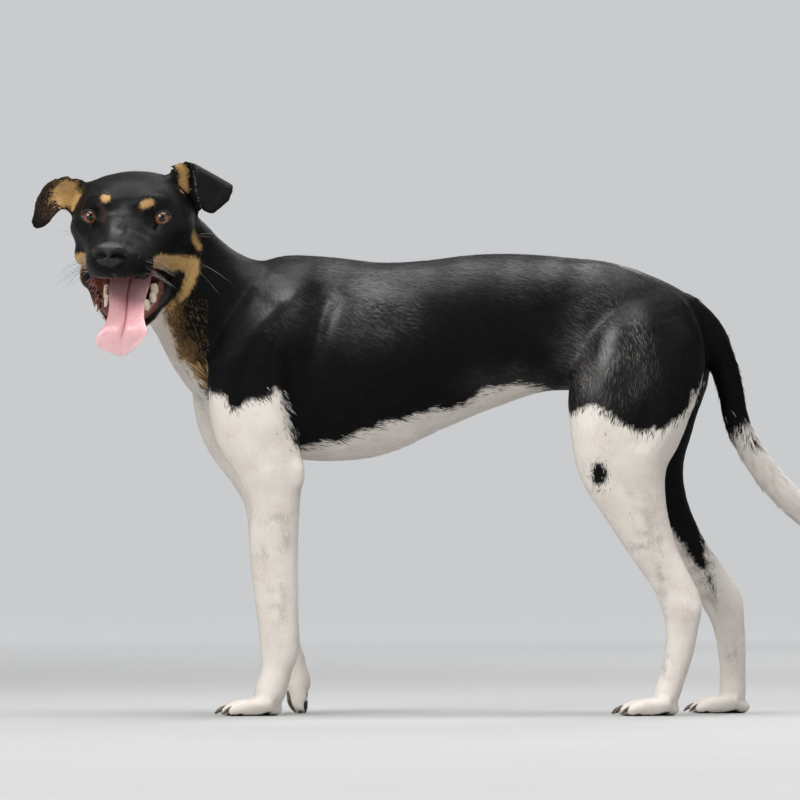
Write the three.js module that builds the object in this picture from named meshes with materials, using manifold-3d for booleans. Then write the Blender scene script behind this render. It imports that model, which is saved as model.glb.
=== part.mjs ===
// A young, smooth-coated, long-legged dog, standing still at life size. Its head is turned to its left, the
// mouth is open with the tongue hanging out, and the right forefoot is tipped onto its toes.
// Millimetres, +Z up. The dog faces -X, its left side faces -Y, and the floor is Z = 0.
import * as THREE from 'three';
import { LoftGeometry } from 'three/addons/geometries/LoftGeometry.js';
import { mergeVertices } from 'three/addons/utils/BufferGeometryUtils.js';
import Module from 'manifold-3d';

const wasm = await Module();
wasm.setup();

// ---------- driving dimensions ----------

const GAP = 0.4; // thin cut between two neighbouring pieces
const SLACK = 0.1; // slivers smaller than this are merged into their neighbours
const FLOOR = -3; // height of the soles' lowest points while drawn; the whole dog is moved at the end
const SOLE_CUT = 1; // the soles are cut off this high above those points, which leaves flats to stand on
const ROOM = 10; // how far a cutting box runs on past the floor
const LEG_BOX_WIDTH = 110;
const TOOTH_DEPTH = 22; // how far a tooth reaches down into the jaw
const EYE_RADIUS = 10.5;
const EYE_SPREAD = 36; // from the middle of the face to the middle of each eye
const EYE_DEPTH = -4; // how far the middle of an eyeball lies behind the line of the lids
const HEAD_TURN = THREE.MathUtils.degToRad(8); // past straight out from the flank, toward the tail
const HEAD_DROP = THREE.MathUtils.degToRad(12);
const HEAD_ROLL = THREE.MathUtils.degToRad(-1.2);

const vec = (x = 0, y = 0, z = 0) => new THREE.Vector3(x, y, z);
const BETWEEN_EYES = vec(-271, -88, 488.6);
const UP = vec(0, 0, 1);
const DOWN = vec(0, 0, -1);
const FRONT = vec(-1, 0, 0);
const REAR = vec(1, 0, 0);

// ---------- shape makers ----------

// One station of a loft: its middle, and how far the section reaches up, down and to each side of it.
function station(x, y, z, up, down, side) {
  return { at: vec(x, y, z), reach: vec(up, down, side) };
}

// Sign-keeping power, which turns a circle's sine or cosine into a fuller section's.
function full(value, fullness) {
  return Math.sign(value) * Math.abs(value) ** (2 / fullness);
}

// Moves a point away from a middle by Gaussian bulges, each { at, size, height }.
function swell(point, outward, bulges) {
  for (const { at, size, height } of bulges) {
    const push = height * Math.exp(-point.distanceToSquared(at) / (2 * size * size));
    point.addScaledVector(outward, push);
  }
  return point;
}

// A point of a path, moved off both of its ends by `grow`.
function grownPoint(path, t, grow) {
  const off = t === 0 ? -grow : t === 1 ? grow : 0;
  return path.getPoint(t).addScaledVector(path.getTangent(t), off);
}

// A closed skin through stations. `top` is the direction that "up" leans to, and `grow` makes it larger on
// every side.
function loft(stations, top, { around = 16, fullness = 2, bulges = [], grow = 0 } = {}) {
  const path = new THREE.CatmullRomCurve3(stations.map((s) => s.at));
  const last = stations.length - 1;
  const sections = stations.map(({ reach }, i) => {
    const middle = grownPoint(path, i / last, grow);
    const along = path.getTangent(i / last);
    const up = top.clone().projectOnPlane(along).normalize();
    const side = vec().crossVectors(along, up);
    const size = reach.clone().addScalar(grow);
    return Array.from({ length: around }, (_, j) => {
      const angle = (2 * Math.PI * j) / around;
      const high = full(Math.cos(angle), fullness);
      const wide = full(Math.sin(angle), fullness);
      const outward = up.clone().multiplyScalar(high * (high > 0 ? size.x : size.y));
      outward.addScaledVector(side, wide * size.z);
      const point = middle.clone().add(outward);
      return swell(point, outward.normalize(), bulges);
    });
  });
  return solid(new LoftGeometry(sections, { capStart: true, capEnd: true }));
}

// A rib of a bent leaf: its middle, the way across the leaf, half the leaf's width there, how far the rims
// come forward of the middle, and the thickness in the middle.
function rib(x, y, z, across, half, cup, thickness) {
  return { at: vec(x, y, z), across: vec(...across).normalize(), half, cup, thickness };
}

const RIM = 0.4; // thickness of a leaf's rim, as a share of its middle

// A bent leaf through ribs, thin at its rims, with its cupped side turned to `facing`.
function leaf(ribs, facing, { lines = 5, grow = 0 } = {}) {
  const path = new THREE.CatmullRomCurve3(ribs.map((r) => r.at));
  const last = ribs.length - 1;
  const normalAt = (i) => vec().crossVectors(path.getTangent(i / last), ribs[i].across).normalize();
  const front = Math.sign(normalAt(0).dot(facing));
  const sections = ribs.map(({ across, half, cup, thickness }, i) => {
    const face = (side) => Array.from({ length: lines }, (_, k) => {
      const w = (2 * k) / (lines - 1) - 1;
      const thick = thickness * (1 - (1 - RIM) * w * w) + 2 * grow;
      const depth = front * cup * w * w + (side * thick) / 2;
      return grownPoint(path, i / last, grow)
        .addScaledVector(across, (half + grow) * w)
        .addScaledVector(normalAt(i), depth);
    });
    return [...face(-1), ...face(1).reverse()];
  });
  return solid(new LoftGeometry(sections, { capStart: true, capEnd: true }));
}

function ball(radius, at, { stretch = [1, 1, 1], around = 12, rings = 8 } = {}) {
  const geometry = new THREE.SphereGeometry(radius, around, rings);
  geometry.scale(...stretch).translate(at.x, at.y, at.z);
  return solid(geometry);
}

// A frame of axes: X along `forward`, Z near `up`.
function axes(forward, up) {
  const x = forward.clone().normalize();
  const y = vec().crossVectors(up, x).normalize();
  return new THREE.Matrix4().makeBasis(x, y, vec().crossVectors(x, y));
}

// A box that parts one piece from another, with the middle of its first end at `from` and its length in the
// direction `forward`. It is called with how much to grow it on every side.
function cutter([length, width, height], from, forward, up = UP, frame = new THREE.Matrix4()) {
  const x = forward.clone().normalize();
  const matrix = axes(x, up);
  matrix.setPosition(from.clone().addScaledVector(x, length / 2)).premultiply(frame);
  return (grow) => {
    const geometry = new THREE.BoxGeometry(length + 2 * grow, width + 2 * grow, height + 2 * grow);
    return solid(geometry.applyMatrix4(matrix));
  };
}

// Parts a solid: the piece in the box, and the rest, clear of it by the thin cut.
function part(shape, box) {
  return [biggest(shape.intersect(box(0))), biggest(shape.subtract(box(GAP)))];
}

// ---------- from meshes to solids and back ----------

function solid(geometry) {
  const bare = new THREE.BufferGeometry();
  bare.setAttribute('position', geometry.getAttribute('position'));
  bare.setIndex(geometry.getIndex());
  const merged = mergeVertices(bare, 1e-4);
  const faces = [];
  for (let i = 0; i < merged.index.count; i += 3) {
    const [a, b, c] = [0, 1, 2].map((k) => merged.index.getX(i + k));
    if (a !== b && b !== c && c !== a) faces.push(a, b, c);
  }
  const mesh = (triVerts) => new wasm.Mesh({
    numProp: 3,
    vertProperties: new Float32Array(merged.attributes.position.array),
    triVerts: new Uint32Array(triVerts),
  });
  const made = new wasm.Manifold(mesh(faces));
  return made.volume() > 0 ? made : new wasm.Manifold(mesh(faces.reverse()));
}

function place(shape, matrix) {
  return shape.transform(matrix.elements);
}

function join(...shapes) {
  return shapes.reduce((whole, next) => whole.add(next));
}

// The biggest body of a solid: a cut can leave a crumb behind.
function biggest(shape) {
  return shape.decompose().reduce((best, body) => (body.volume() > best.volume() ? body : best));
}

function meshOf(name, shape, material) {
  const { vertProperties, triVerts } = shape.simplify(SLACK).getMesh();
  const geometry = new THREE.BufferGeometry();
  geometry.setAttribute('position', new THREE.BufferAttribute(new Float32Array(vertProperties), 3));
  geometry.setIndex(new THREE.BufferAttribute(new Uint32Array(triVerts), 1));
  geometry.computeVertexNormals();
  const mesh = new THREE.Mesh(geometry, material);
  mesh.name = name;
  return mesh;
}

// ---------- materials ----------

const finish = (color, roughness) => new THREE.MeshStandardMaterial({ color, roughness, metalness: 0 });
const BLACK_COAT = finish(0x14120f, 0.55);
const WHITE_COAT = finish(0xe6dfd4, 0.75);
const NOSE_LEATHER = finish(0x2a2322, 0.45);
const TONGUE_SKIN = finish(0xd98a93, 0.4);
const EYE_AMBER = finish(0x8a4a18, 0.1);
const CLAW_HORN = finish(0x3a332d, 0.5);

// ---------- trunk, neck and tail ----------

// Along the trunk: distance, height of the back, height of the belly, half width.
const TRUNK = [
  [-206, 350, 312, 20],
  [-192, 388, 290, 38],
  [-160, 434, 267, 52],
  [-115, 457, 252, 62],
  [-60, 456, 250, 69],
  [-15, 451, 258, 73],
  [30, 453, 278, 71],
  [70, 458, 295, 65],
  [105, 460, 308, 58],
  [140, 459, 319, 54],
  [175, 456, 320, 53],
  [215, 451, 314, 53],
  [255, 438, 313, 48],
  [286, 422, 330, 36],
  [304, 401, 352, 20],
];
const TRUNK_RISE = 0.06; // slope of the line that the widest points lie on
const TRUNK_WIDEST = 362; // height of that line at X = 0

function trunk() {
  const stations = TRUNK.map(([x, back, belly, half]) => {
    const z = TRUNK_WIDEST + TRUNK_RISE * x;
    return station(x, 0, z, back - z, z - belly, half);
  });
  return loft(stations, UP, { around: 18, fullness: 2.15 });
}

const NAPE = vec(0.75, 0, 0.66); // the neck leans forward, so its upper side faces up and back
const NECK = [
  station(-118, 0, 345, 84, 76, 46),
  station(-150, 0, 362, 88, 74, 53),
  station(-178, -1, 386, 91, 66, 53),
  station(-203, -6, 415, 65, 56, 50),
  station(-224, -14, 443, 54, 56, 48),
  station(-238, -24, 466, 50, 52, 45),
  station(-246, -34, 484, 40, 42, 38),
];

const TAIL = [
  station(262, 0, 410, 14, 20, 15),
  station(285, 0, 402, 18, 22, 17),
  station(307, 0, 378, 20, 19, 17),
  station(322, 0, 350, 17, 17, 16),
  station(331, 1, 322, 15, 16, 15.5),
  station(336, 2, 296, 14.5, 15.5, 15),
  station(346, 4, 272, 14, 15.5, 15),
  station(362, 6, 246, 13.5, 15.5, 14.5),
  station(381, 8, 223, 13.5, 15.5, 14),
  station(401, 10, 203, 13.5, 15, 13.5),
  station(422, 11, 184, 11.5, 12.5, 11.5),
  station(441, 12, 168, 8, 9, 8.5),
  station(458, 13, 154, 4, 4, 4),
];
const TAIL_TOP = vec(1, 0, 0.4);

// ---------- legs ----------

// How far each level of a leg reaches forward, backward and to each side of its middle line.
const FORELEG_GIRTH = [
  [22, 24, 12], // top of the shoulder blade
  [34, 38, 20], // shoulder blade
  [38, 48, 25], // shoulder joint
  [38, 47, 26], // upper arm
  [31, 38, 23], // elbow
  [26, 27, 20.5], // top of the forearm
  [25.5, 25, 18.5],
  [22.5, 22.5, 16.5],
  [20.5, 19.5, 17], // wrist
  [15.5, 17, 17], // pastern
  [15.5, 17, 20], // root of the toes
  [13, 12, 18],
];
const HINDLEG_GIRTH = [
  [34, 36, 12], // top of the hip
  [54, 58, 24],
  [68, 66, 30], // thigh
  [67, 57, 31],
  [50, 46, 27], // knee
  [34, 32, 21],
  [24, 24, 17],
  [22, 19, 13.5],
  [24, 19, 14], // hock
  [19, 15.5, 12.5],
  [16.5, 13.5, 12.5],
  [14.5, 13, 14],
  [14, 14, 18], // root of the toes
  [11, 11, 16],
];

// Middle line of each leg, level by level, from the top down: x, distance from the middle plane, height.
const FORELEG_LEFT = [
  [-108, 27, 432], [-128, 42, 400], [-152, 49, 345], [-150, 50, 290],
  [-132, 50, 242], [-125, 50, 208], [-125, 50, 160], [-122, 51, 110],
  [-119, 52, 70], [-123.5, 53, 42], [-130, 54, 20], [-133, 54, 7],
];
const FORELEG_RIGHT = [
  [-114, 27, 432], [-140, 42, 400], [-170, 49, 345], [-166, 50, 290],
  [-142, 50, 242], [-131, 50, 208], [-127, 50, 160], [-124, 50, 110],
  [-119, 50, 68], [-112, 50, 46], [-106, 50, 28], [-105, 50, 17],
];
const HINDLEG_LEFT = [
  [230, 18, 420], [236, 31, 392], [238, 42, 350], [231, 46, 300], [223, 48, 250],
  [234, 49, 205], [251, 50, 163], [270, 51, 132], [281, 52, 108], [281, 52, 84],
  [278, 52, 60], [271, 53, 37], [264, 53, 19], [262, 53, 7],
];
const HINDLEG_RIGHT = [
  [238, 18, 420], [246, 31, 392], [248, 42, 350], [243, 46, 300], [244, 48, 252],
  [260, 48, 208], [284, 48, 168], [310, 49, 138], [327, 50, 112], [333, 51, 86],
  [336, 51, 60], [336, 51, 37], [335, 51, 19], [334, 51, 7],
];

function leg(line, girth, side, around) {
  const stations = line.map(([x, out, z], level) => station(x, side * out, z, ...girth[level]));
  return loft(stations, FRONT, { around, fullness: 2.1 });
}

// ---------- feet ----------

// Toes side by side across a foot: how far each starts from the middle, how much it fans out, and its length
// as a share of the longest.
const TOES = [
  { across: -14, fan: -0.2, length: 0.84 },
  { across: -5, fan: -0.06, length: 1 },
  { across: 5, fan: 0.06, length: 1 },
  { across: 14, fan: 0.2, length: 0.84 },
];
// A toe from its root forward: distance, height, reach up, down and sideways.
const TOE_PROFILE = [
  [-10, 15, 6, 10, 7],
  [8, 10.5, 8.5, 10, 8.4],
  [24, 9, 8, 8.5, 7.8],
  [35, 6.5, 5.5, 6, 6],
  [40.5, 5, 3, 4, 4],
];
// A claw from inside the toe forward: distance, height, radius.
const CLAW_PROFILE = [
  [28, 9.5, 2.2],
  [35, 9, 2.5],
  [41.5, 6.5, 1.8],
  [46, 3, 0.7],
];
const TOE_LENGTH = 40.5;

// Where each foot stands: `at` lies on the sole below the roots of the toes, `toes` is the way they point,
// `up` the way from the sole into the foot, `reach` stretches the toes, and `claws` slides the claws forward
// and up. The right forefoot is tipped up on the ends of its toes.
const FLAT_FOOT = { up: [0, 0, 1], reach: 1, claws: [0, 0] };
const TIPPED_FOOT = { up: [-1, 0, 0], reach: 0.58, claws: [-7.6, 9.5] };
const FEET = {
  forepaw_left: { at: [-137, -54, FLOOR], toes: [-1, -0.06, 0], ...FLAT_FOOT },
  forepaw_right: { at: [-92.5, 50, 20.5], toes: [0, 0.04, -1], ...TIPPED_FOOT },
  hindpaw_left: { at: [256, -53, FLOOR], toes: [-1, -0.06, 0], ...FLAT_FOOT },
  hindpaw_right: { at: [332, 51, FLOOR], toes: [-1, 0.1, 0], ...FLAT_FOOT },
};

function footFrame({ at, toes, up }) {
  return axes(vec(...toes), vec(...up)).setPosition(...at);
}

function toe({ across, fan, length }, reach) {
  const stations = TOE_PROFILE.map(([x, z, up, down, side]) => {
    const ahead = Math.max(x, 0) * length * reach;
    return station(Math.min(x, 0) + ahead, across + fan * ahead, z, up, down, side);
  });
  return loft(stations, UP, { around: 5 });
}

function claw({ across, fan, length }, { reach, claws: [ahead, higher] }, grow) {
  const shift = ahead - (1 - length * reach) * TOE_LENGTH; // a shorter toe carries its claw further back
  const stations = CLAW_PROFILE.map(([x, z, r]) =>
    station(x + shift, across + fan * (x + shift), z + higher, r, r, 0.8 * r));
  return loft(stations, UP, { around: 4, grow });
}

function heelPad() {
  return ball(1, vec(-8, 0, 7.5), { stretch: [14, 14.5, 8], around: 6, rings: 4 });
}

// ---------- head, in its own frame: X to the nose, Y to the dog's left, Z up, 0 between the eyes ----------

function headFrame() {
  const ahead = vec(-Math.sin(HEAD_TURN), -Math.cos(HEAD_TURN), 0);
  const forward = ahead.multiplyScalar(Math.cos(HEAD_DROP)).addScaledVector(DOWN, Math.sin(HEAD_DROP));
  const left = vec(Math.cos(HEAD_TURN), -Math.sin(HEAD_TURN), 0).applyAxisAngle(forward, HEAD_ROLL);
  const up = vec().crossVectors(forward, left);
  return new THREE.Matrix4().makeBasis(forward, left, up).setPosition(BETWEEN_EYES);
}

// The same bulge on both sides of the face.
function pair(x, y, z, size, height) {
  return [-1, 1].map((side) => ({ at: vec(x, side * y, z), size, height }));
}

const SKULL = [
  station(-119, 0, -12, 10, 14, 14),
  station(-113, 0, -11, 22, 28, 30),
  station(-101, 0, -9, 32, 36, 41),
  station(-82, 1, -10, 45, 46, 54),
  station(-55, 1.5, -11, 51, 51, 61),
  station(-31, 1.5, -13, 52, 52, 61),
  station(-13, 1, -17, 46, 47, 55),
  station(3, 0.5, -23, 32, 38, 44),
  station(20, 0, -30, 25, 28, 36.5),
  station(42, -0.5, -33, 21, 24, 33),
  station(58, -1.5, -32.5, 18, 20, 28),
  station(68, -2, -31, 14, 16, 22),
  station(74, -2.3, -30, 10, 12, 15),
];
const FACE_BULGES = [
  ...pair(-2, 22, 20, 9, 3), // brows
  ...pair(7, 37, 0, 10, -8), // eye sockets
  ...pair(-18, 52, -50, 14, 5), // cheeks at the corners of the mouth
  { at: vec(10, 0, -4), size: 9, height: -2 }, // stop
  ...pair(34, 28, -52, 11, 6), // hanging upper lips
];

const JAW = [
  station(-78, 0, -46, 22, 20, 42),
  station(-58, 0, -52, 24, 22, 47),
  station(-34, 1.5, -63, 19, 22, 50),
  station(-10, 4, -76, 15, 17, 43),
  station(12, 6, -87, 11, 15, 36),
  station(30, 6.5, -96, 9, 12, 24),
  station(42, 6.5, -101, 7.5, 9, 16),
  station(48, 6.5, -104, 6, 7, 10),
];
const MOUTH_FLOOR = [
  station(-48, 1, -54, 14, 6, 26),
  station(-30, 2, -58, 14, 4, 38),
  station(-8, 4, -64, 14, 4, 37),
  station(14, 6, -74, 12, 5, 29),
  station(32, 6.5, -84, 10, 5, 18),
  station(42, 6.5, -90, 9, 4, 11),
];
const PALATE = [
  station(-48, 1, -56, 10, 16, 26),
  station(-24, 2, -60, 12, 16, 38),
  station(2, 1, -62, 14, 14, 35),
  station(26, 0, -60, 14, 12, 28),
  station(46, 0, -56, 13, 10, 23),
  station(60, 0, -53, 9, 8, 16),
];
// Lower teeth that show: distance forward, to the left, half length, half width, height of the tip.
const TEETH = [
  [8, 29, 5, 3, -63],
  [20, 29.5, 3.8, 2.8, -70],
  [32, 25, 3.4, 3, -75],
  [10, -18, 4.4, 3, -64],
  [24, -15, 3.6, 2.8, -72],
];

const NOSE = [
  station(60, -2, -25, 9, 10, 13),
  station(67, -2.3, -24.5, 12, 13, 16.5),
  station(75, -2.5, -24.5, 11.5, 13, 16),
  station(80, -2.6, -25.5, 8.5, 9.5, 12),
  station(82, -2.6, -26, 4, 5, 7),
];

const TONGUE = [
  rib(-40, 1, -57, [0, 1, 0], 15, 1, 8),
  rib(-16, 3, -61, [0, 1, 0], 19, 2, 9),
  rib(4, 4, -67, [0, 1, 0], 20, 2, 9),
  rib(20, 5, -75, [0, 1, 0.01], 18.5, 2, 8.5),
  rib(36, 7, -84, [0, 1, 0.02], 17.6, 1.5, 8),
  rib(48, 8, -92, [0, 1, 0.04], 18.2, 1, 7.5),
  rib(56, 7.5, -100, [0, 1, 0.1], 22, 1, 7),
  rib(58.5, 6, -107, [0, 1, 0.17], 26, 1.5, 6.5),
  rib(58, 5, -114, [0, 1, 0.18], 22, 2, 6),
  rib(57, 5, -121, [0, 1, 0.14], 13, 1.5, 5),
  rib(56, 5, -127, [0, 1, 0.1], 4, 0, 3.5),
];
const TONGUE_TOP = vec(0.3, 0, 1);

const EAR_RIGHT = [
  rib(-50, -44, 9, [0, -0.46, -0.89], 18, 5, 5),
  rib(-44, -54, 14, [0, -0.35, -0.94], 20, 6, 4.5),
  rib(-38, -66, 19, [0, -0.02, -1], 17.5, 6, 3.8),
  rib(-33, -74, 19, [0, 0.26, -0.96], 16, 5, 3.4),
  rib(-29, -81, 14, [0, 0.45, -0.89], 14.5, 4, 3.4),
  rib(-26, -86, 6, [0, 0.65, -0.76], 12.5, 3, 3.2),
  rib(-24, -90, -3, [0, 0.86, -0.51], 10.5, 2, 3),
  rib(-23, -93, -11, [0, 0.96, -0.27], 7.9, 1, 2.8),
  rib(-22, -94, -16.5, [0, 0.99, -0.13], 3.6, 0, 2.4),
];
const EAR_LEFT = [
  rib(-56, 46, 12, [-0.18, 0.61, -0.78], 21, 5, 5),
  rib(-55, 54, 24, [-0.14, 0.7, -0.7], 25, 5, 4.5),
  rib(-51, 65, 35, [-0.11, 0.84, -0.53], 28, 3, 3.8),
  rib(-44, 76, 40, [-0.05, 0.87, -0.49], 27, 0, 3.4),
  rib(-37, 82, 34, [-0.09, 0.86, -0.51], 22, -2, 3.4),
  rib(-34, 83, 23, [-0.14, 0.91, -0.39], 18.2, -3, 3.2),
  rib(-30, 80, 11, [-0.13, 0.93, -0.35], 11.6, -2, 3),
  rib(-28, 78, 2, [0, 0.94, -0.33], 5.4, 0, 2.4),
];
const EAR_FACING = vec(1, 0, 0.1);

// A tooth from its root up: how far below the tip, and its girth as a share of the whole.
const TOOTH_PROFILE = [
  [TOOTH_DEPTH, 1],
  [9, 1],
  [3, 0.6],
  [0, 0.3],
];

function tooth([x, y, long, wide, tip]) {
  const stations = TOOTH_PROFILE.map(([below, girth]) =>
    station(x, y, tip - below, girth * long, girth * long, girth * wide));
  return loft(stations, REAR, { around: 5 });
}

function headFlesh() {
  const skull = loft(SKULL, UP, { around: 20, fullness: 2.2, bulges: FACE_BULGES });
  const jaw = loft(JAW, UP, { around: 14, fullness: 2.2 });
  return join(
    skull.subtract(loft(PALATE, UP, { around: 8 })),
    jaw.subtract(loft(MOUTH_FLOOR, UP, { around: 8 })),
    ...TEETH.map(tooth),
    leaf(EAR_LEFT, EAR_FACING),
    leaf(EAR_RIGHT, EAR_FACING),
  );
}

function nose(grow) {
  return loft(NOSE, UP, { around: 12, fullness: 2.3, grow });
}

function tongue(grow) {
  return leaf(TONGUE, TONGUE_TOP, { grow });
}

function eye(side, grow) {
  return ball(EYE_RADIUS + grow, vec(EYE_DEPTH, side * EYE_SPREAD, 0), { around: 10, rings: 7 });
}

// ---------- the whole animal ----------

const head = headFrame();
const footFrames = Object.fromEntries(Object.entries(FEET).map(([name, foot]) => [name, footFrame(foot)]));

function footFlesh(name) {
  const toes = TOES.map((shape) => toe(shape, FEET[name].reach));
  return place(join(heelPad(), ...toes), footFrames[name]);
}

function flesh() {
  const whole = join(
    trunk(),
    loft(NECK, NAPE, { around: 16, fullness: 2.1 }),
    loft(TAIL, TAIL_TOP, { around: 12 }),
    leg(FORELEG_LEFT, FORELEG_GIRTH, -1, 12),
    leg(FORELEG_RIGHT, FORELEG_GIRTH, 1, 12),
    leg(HINDLEG_LEFT, HINDLEG_GIRTH, -1, 14),
    leg(HINDLEG_RIGHT, HINDLEG_GIRTH, 1, 14),
    place(headFlesh(), head),
    ...Object.keys(FEET).map(footFlesh),
  );
  const belowSoles = cutter([4 * ROOM, 400, 1400], vec(0, 0, FLOOR + SOLE_CUT), DOWN, REAR);
  return whole.subtract(belowSoles(0));
}

// What is set into the flesh, each { name, material, shape }: the shape is called with how much to grow it,
// so that its socket is a thin cut wider than itself.
function settings() {
  const inHead = (name, material, shape) => (
    { name, material, shape: (grow) => place(shape(grow), head) }
  );
  const claws = Object.entries(FEET).flatMap(([name, foot]) => TOES.map((shape, i) => ({
    name: `${name.replace('paw', 'claw')}_${i + 1}`,
    material: CLAW_HORN,
    shape: (grow) => place(claw(shape, foot, grow), footFrames[name]),
  })));
  return [
    inHead('eye_left', EYE_AMBER, (grow) => eye(1, grow)),
    inHead('eye_right', EYE_AMBER, (grow) => eye(-1, grow)),
    inHead('nose', NOSE_LEATHER, nose),
    inHead('tongue', TONGUE_SKIN, tongue),
    ...claws,
  ];
}

// ---------- thin cuts between the pieces of flesh ----------

// A leg's box: its inner side crosses the middle plane at the height `cross` and leans outward above it.
function legBox(from, to, side, cross, top, lean) {
  const bottom = FLOOR - ROOM;
  const out = vec(0, side, -lean).normalize();
  const inner = vec((from + to) / 2, side * lean * (bottom - cross), bottom);
  const start = inner.addScaledVector(out, LEG_BOX_WIDTH / 2);
  return cutter([top - bottom, LEG_BOX_WIDTH, to - from], start, vec(0, side * lean, 1), REAR);
}

// A foot's box hangs down from the ankle, at the height `ankle`.
function footBox(x, y, ankle) {
  return cutter([ankle + ROOM - FLOOR, 60, 140], vec(x, y, ankle), DOWN, REAR);
}

const CUTS = {
  head: cutter([300, 400, 400], vec(-221, -12, 443), vec(-0.62, -0.5, 0.6)),
  neck: cutter([200, 300, 340], vec(-181, 0, 384), vec(-0.917, 0, 0.404)),
  tail: cutter([104, 40, 42], vec(304, 0, 381), vec(0.38, 0, -0.925)),
  tail_end: cutter([260, 56, 120], vec(343, 8, 284), vec(0.42, 0, -0.9)),
  foreleg_left: legBox(-216, -88, -1, 154, 418, 0.14),
  foreleg_right: legBox(-222, -88, 1, 154, 418, 0.14),
  hindleg_left: legBox(158, 307, -1, 243, 415, 0.12),
  hindleg_right: legBox(158, 352, 1, 243, 415, 0.12),
  forepaw_left: footBox(-140, -54, 45),
  forepaw_right: footBox(-110, 50, 47),
  hindpaw_left: footBox(260, -54, 45),
  hindpaw_right: footBox(325, 50, 45),
  lower_jaw: cutter([140, 150, 100], vec(-62, 0, -100), vec(1, 0, -0.24), UP, head),
  ear_left: cutter([90, 120, 120], vec(-50, 57, 21), vec(0, 0.8, 0.6), UP, head),
  ear_right: cutter([90, 120, 120], vec(-44, -56, 15), vec(0, -0.85, 0.5), UP, head),
};
// Each cut takes its piece from what the cuts before it left, or from the piece named here.
const CUT_FROM = {
  forepaw_left: 'foreleg_left',
  forepaw_right: 'foreleg_right',
  hindpaw_left: 'hindleg_left',
  hindpaw_right: 'hindleg_right',
  lower_jaw: 'head',
  ear_left: 'head',
  ear_right: 'head',
};
const CUT_ORDER = ['head', 'neck', 'tail_end', 'tail', 'foreleg_left', 'forepaw_left', 'hindleg_left',
  'hindpaw_left', 'foreleg_right', 'forepaw_right', 'hindleg_right', 'hindpaw_right', 'lower_jaw', 'ear_left',
  'ear_right'];
const DARK_PIECES = ['trunk', 'head', 'neck', 'tail', 'lower_jaw', 'ear_left', 'ear_right'];

// The flesh, divided into its pieces: what no cut takes is the trunk.
function divide(whole) {
  const pieces = { trunk: whole };
  for (const name of CUT_ORDER) {
    const source = CUT_FROM[name] ?? 'trunk';
    [pieces[name], pieces[source]] = part(pieces[source], CUTS[name]);
  }
  return pieces;
}

function buildDog() {
  const dog = new THREE.Group();
  let body = flesh();
  for (const { name, material, shape } of settings()) {
    body = body.subtract(shape(GAP));
    dog.add(meshOf(name, shape(0), material));
  }
  for (const [name, shape] of Object.entries(divide(body.simplify(SLACK))))
    dog.add(meshOf(name, shape, DARK_PIECES.includes(name) ? BLACK_COAT : WHITE_COAT));
  return dog;
}

const dog = buildDog();
const box = new THREE.Box3().setFromObject(dog);
dog.position.set(-(box.min.x + box.max.x) / 2, -(box.min.y + box.max.y) / 2, -box.min.z);
export default dog;
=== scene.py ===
"""The looks of a young, smooth-coated, long-legged dog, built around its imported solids.

The flesh is drawn once more from the outlines of the solids, as fine surfaces worked out with
numpy. They are melted into one skin, and the skin carries a coat of solid hair tufts, two eyes with
their lids, a nose, a mouth with lips, teeth and tongue, whiskers, pads and claws. Outlines are in
millimetres in the maker's drawing frame, which faces -X with its left side to -Y. ``Drawing`` moves
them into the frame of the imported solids, in metres.
"""

from __future__ import annotations

import logging
import math
from dataclasses import dataclass, field
from enum import Enum, IntEnum

import bpy
import numpy as np
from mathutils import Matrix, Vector
from mathutils.bvhtree import BVHTree

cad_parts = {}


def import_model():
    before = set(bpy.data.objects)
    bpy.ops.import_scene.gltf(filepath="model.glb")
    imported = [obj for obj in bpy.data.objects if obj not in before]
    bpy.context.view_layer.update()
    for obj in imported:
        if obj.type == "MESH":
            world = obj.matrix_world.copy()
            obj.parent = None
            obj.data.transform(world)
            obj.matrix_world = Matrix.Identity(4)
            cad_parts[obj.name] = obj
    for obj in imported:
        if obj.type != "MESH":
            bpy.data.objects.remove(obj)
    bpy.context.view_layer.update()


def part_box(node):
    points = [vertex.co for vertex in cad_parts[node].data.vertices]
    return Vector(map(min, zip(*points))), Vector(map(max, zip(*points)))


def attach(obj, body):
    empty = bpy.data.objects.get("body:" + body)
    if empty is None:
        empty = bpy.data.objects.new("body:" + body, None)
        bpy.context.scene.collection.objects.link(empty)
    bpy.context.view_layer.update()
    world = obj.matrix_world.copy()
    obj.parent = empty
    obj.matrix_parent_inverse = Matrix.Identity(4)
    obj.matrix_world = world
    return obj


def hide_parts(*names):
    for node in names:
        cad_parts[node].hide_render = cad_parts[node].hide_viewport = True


Array = np.ndarray
Point = tuple[float, float, float]
Colour = tuple[float, float, float]
Table = list[tuple[float, ...]] | Array
Mesh = bpy.types.Mesh
Object = bpy.types.Object
Material = bpy.types.Material
MM = 0.001
log = logging.getLogger("dog")

# -----------------------------------------------------------------------------
# Numbers on arrays
# -----------------------------------------------------------------------------


def unit(vectors: Array) -> Array:
    """Vectors scaled to length 1, along the last axis."""
    return vectors / np.maximum(np.linalg.norm(vectors, axis=-1, keepdims=True), 1e-12)


def blend(low: float, high: float, x: Array) -> Array:
    """Smooth step: 0 below low, 1 above high, 3t^2 - 2t^3 between; low may be the larger one."""
    t = np.clip((x - low) / (high - low), 0.0, 1.0)
    return t * t * (3.0 - 2.0 * t)


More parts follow.
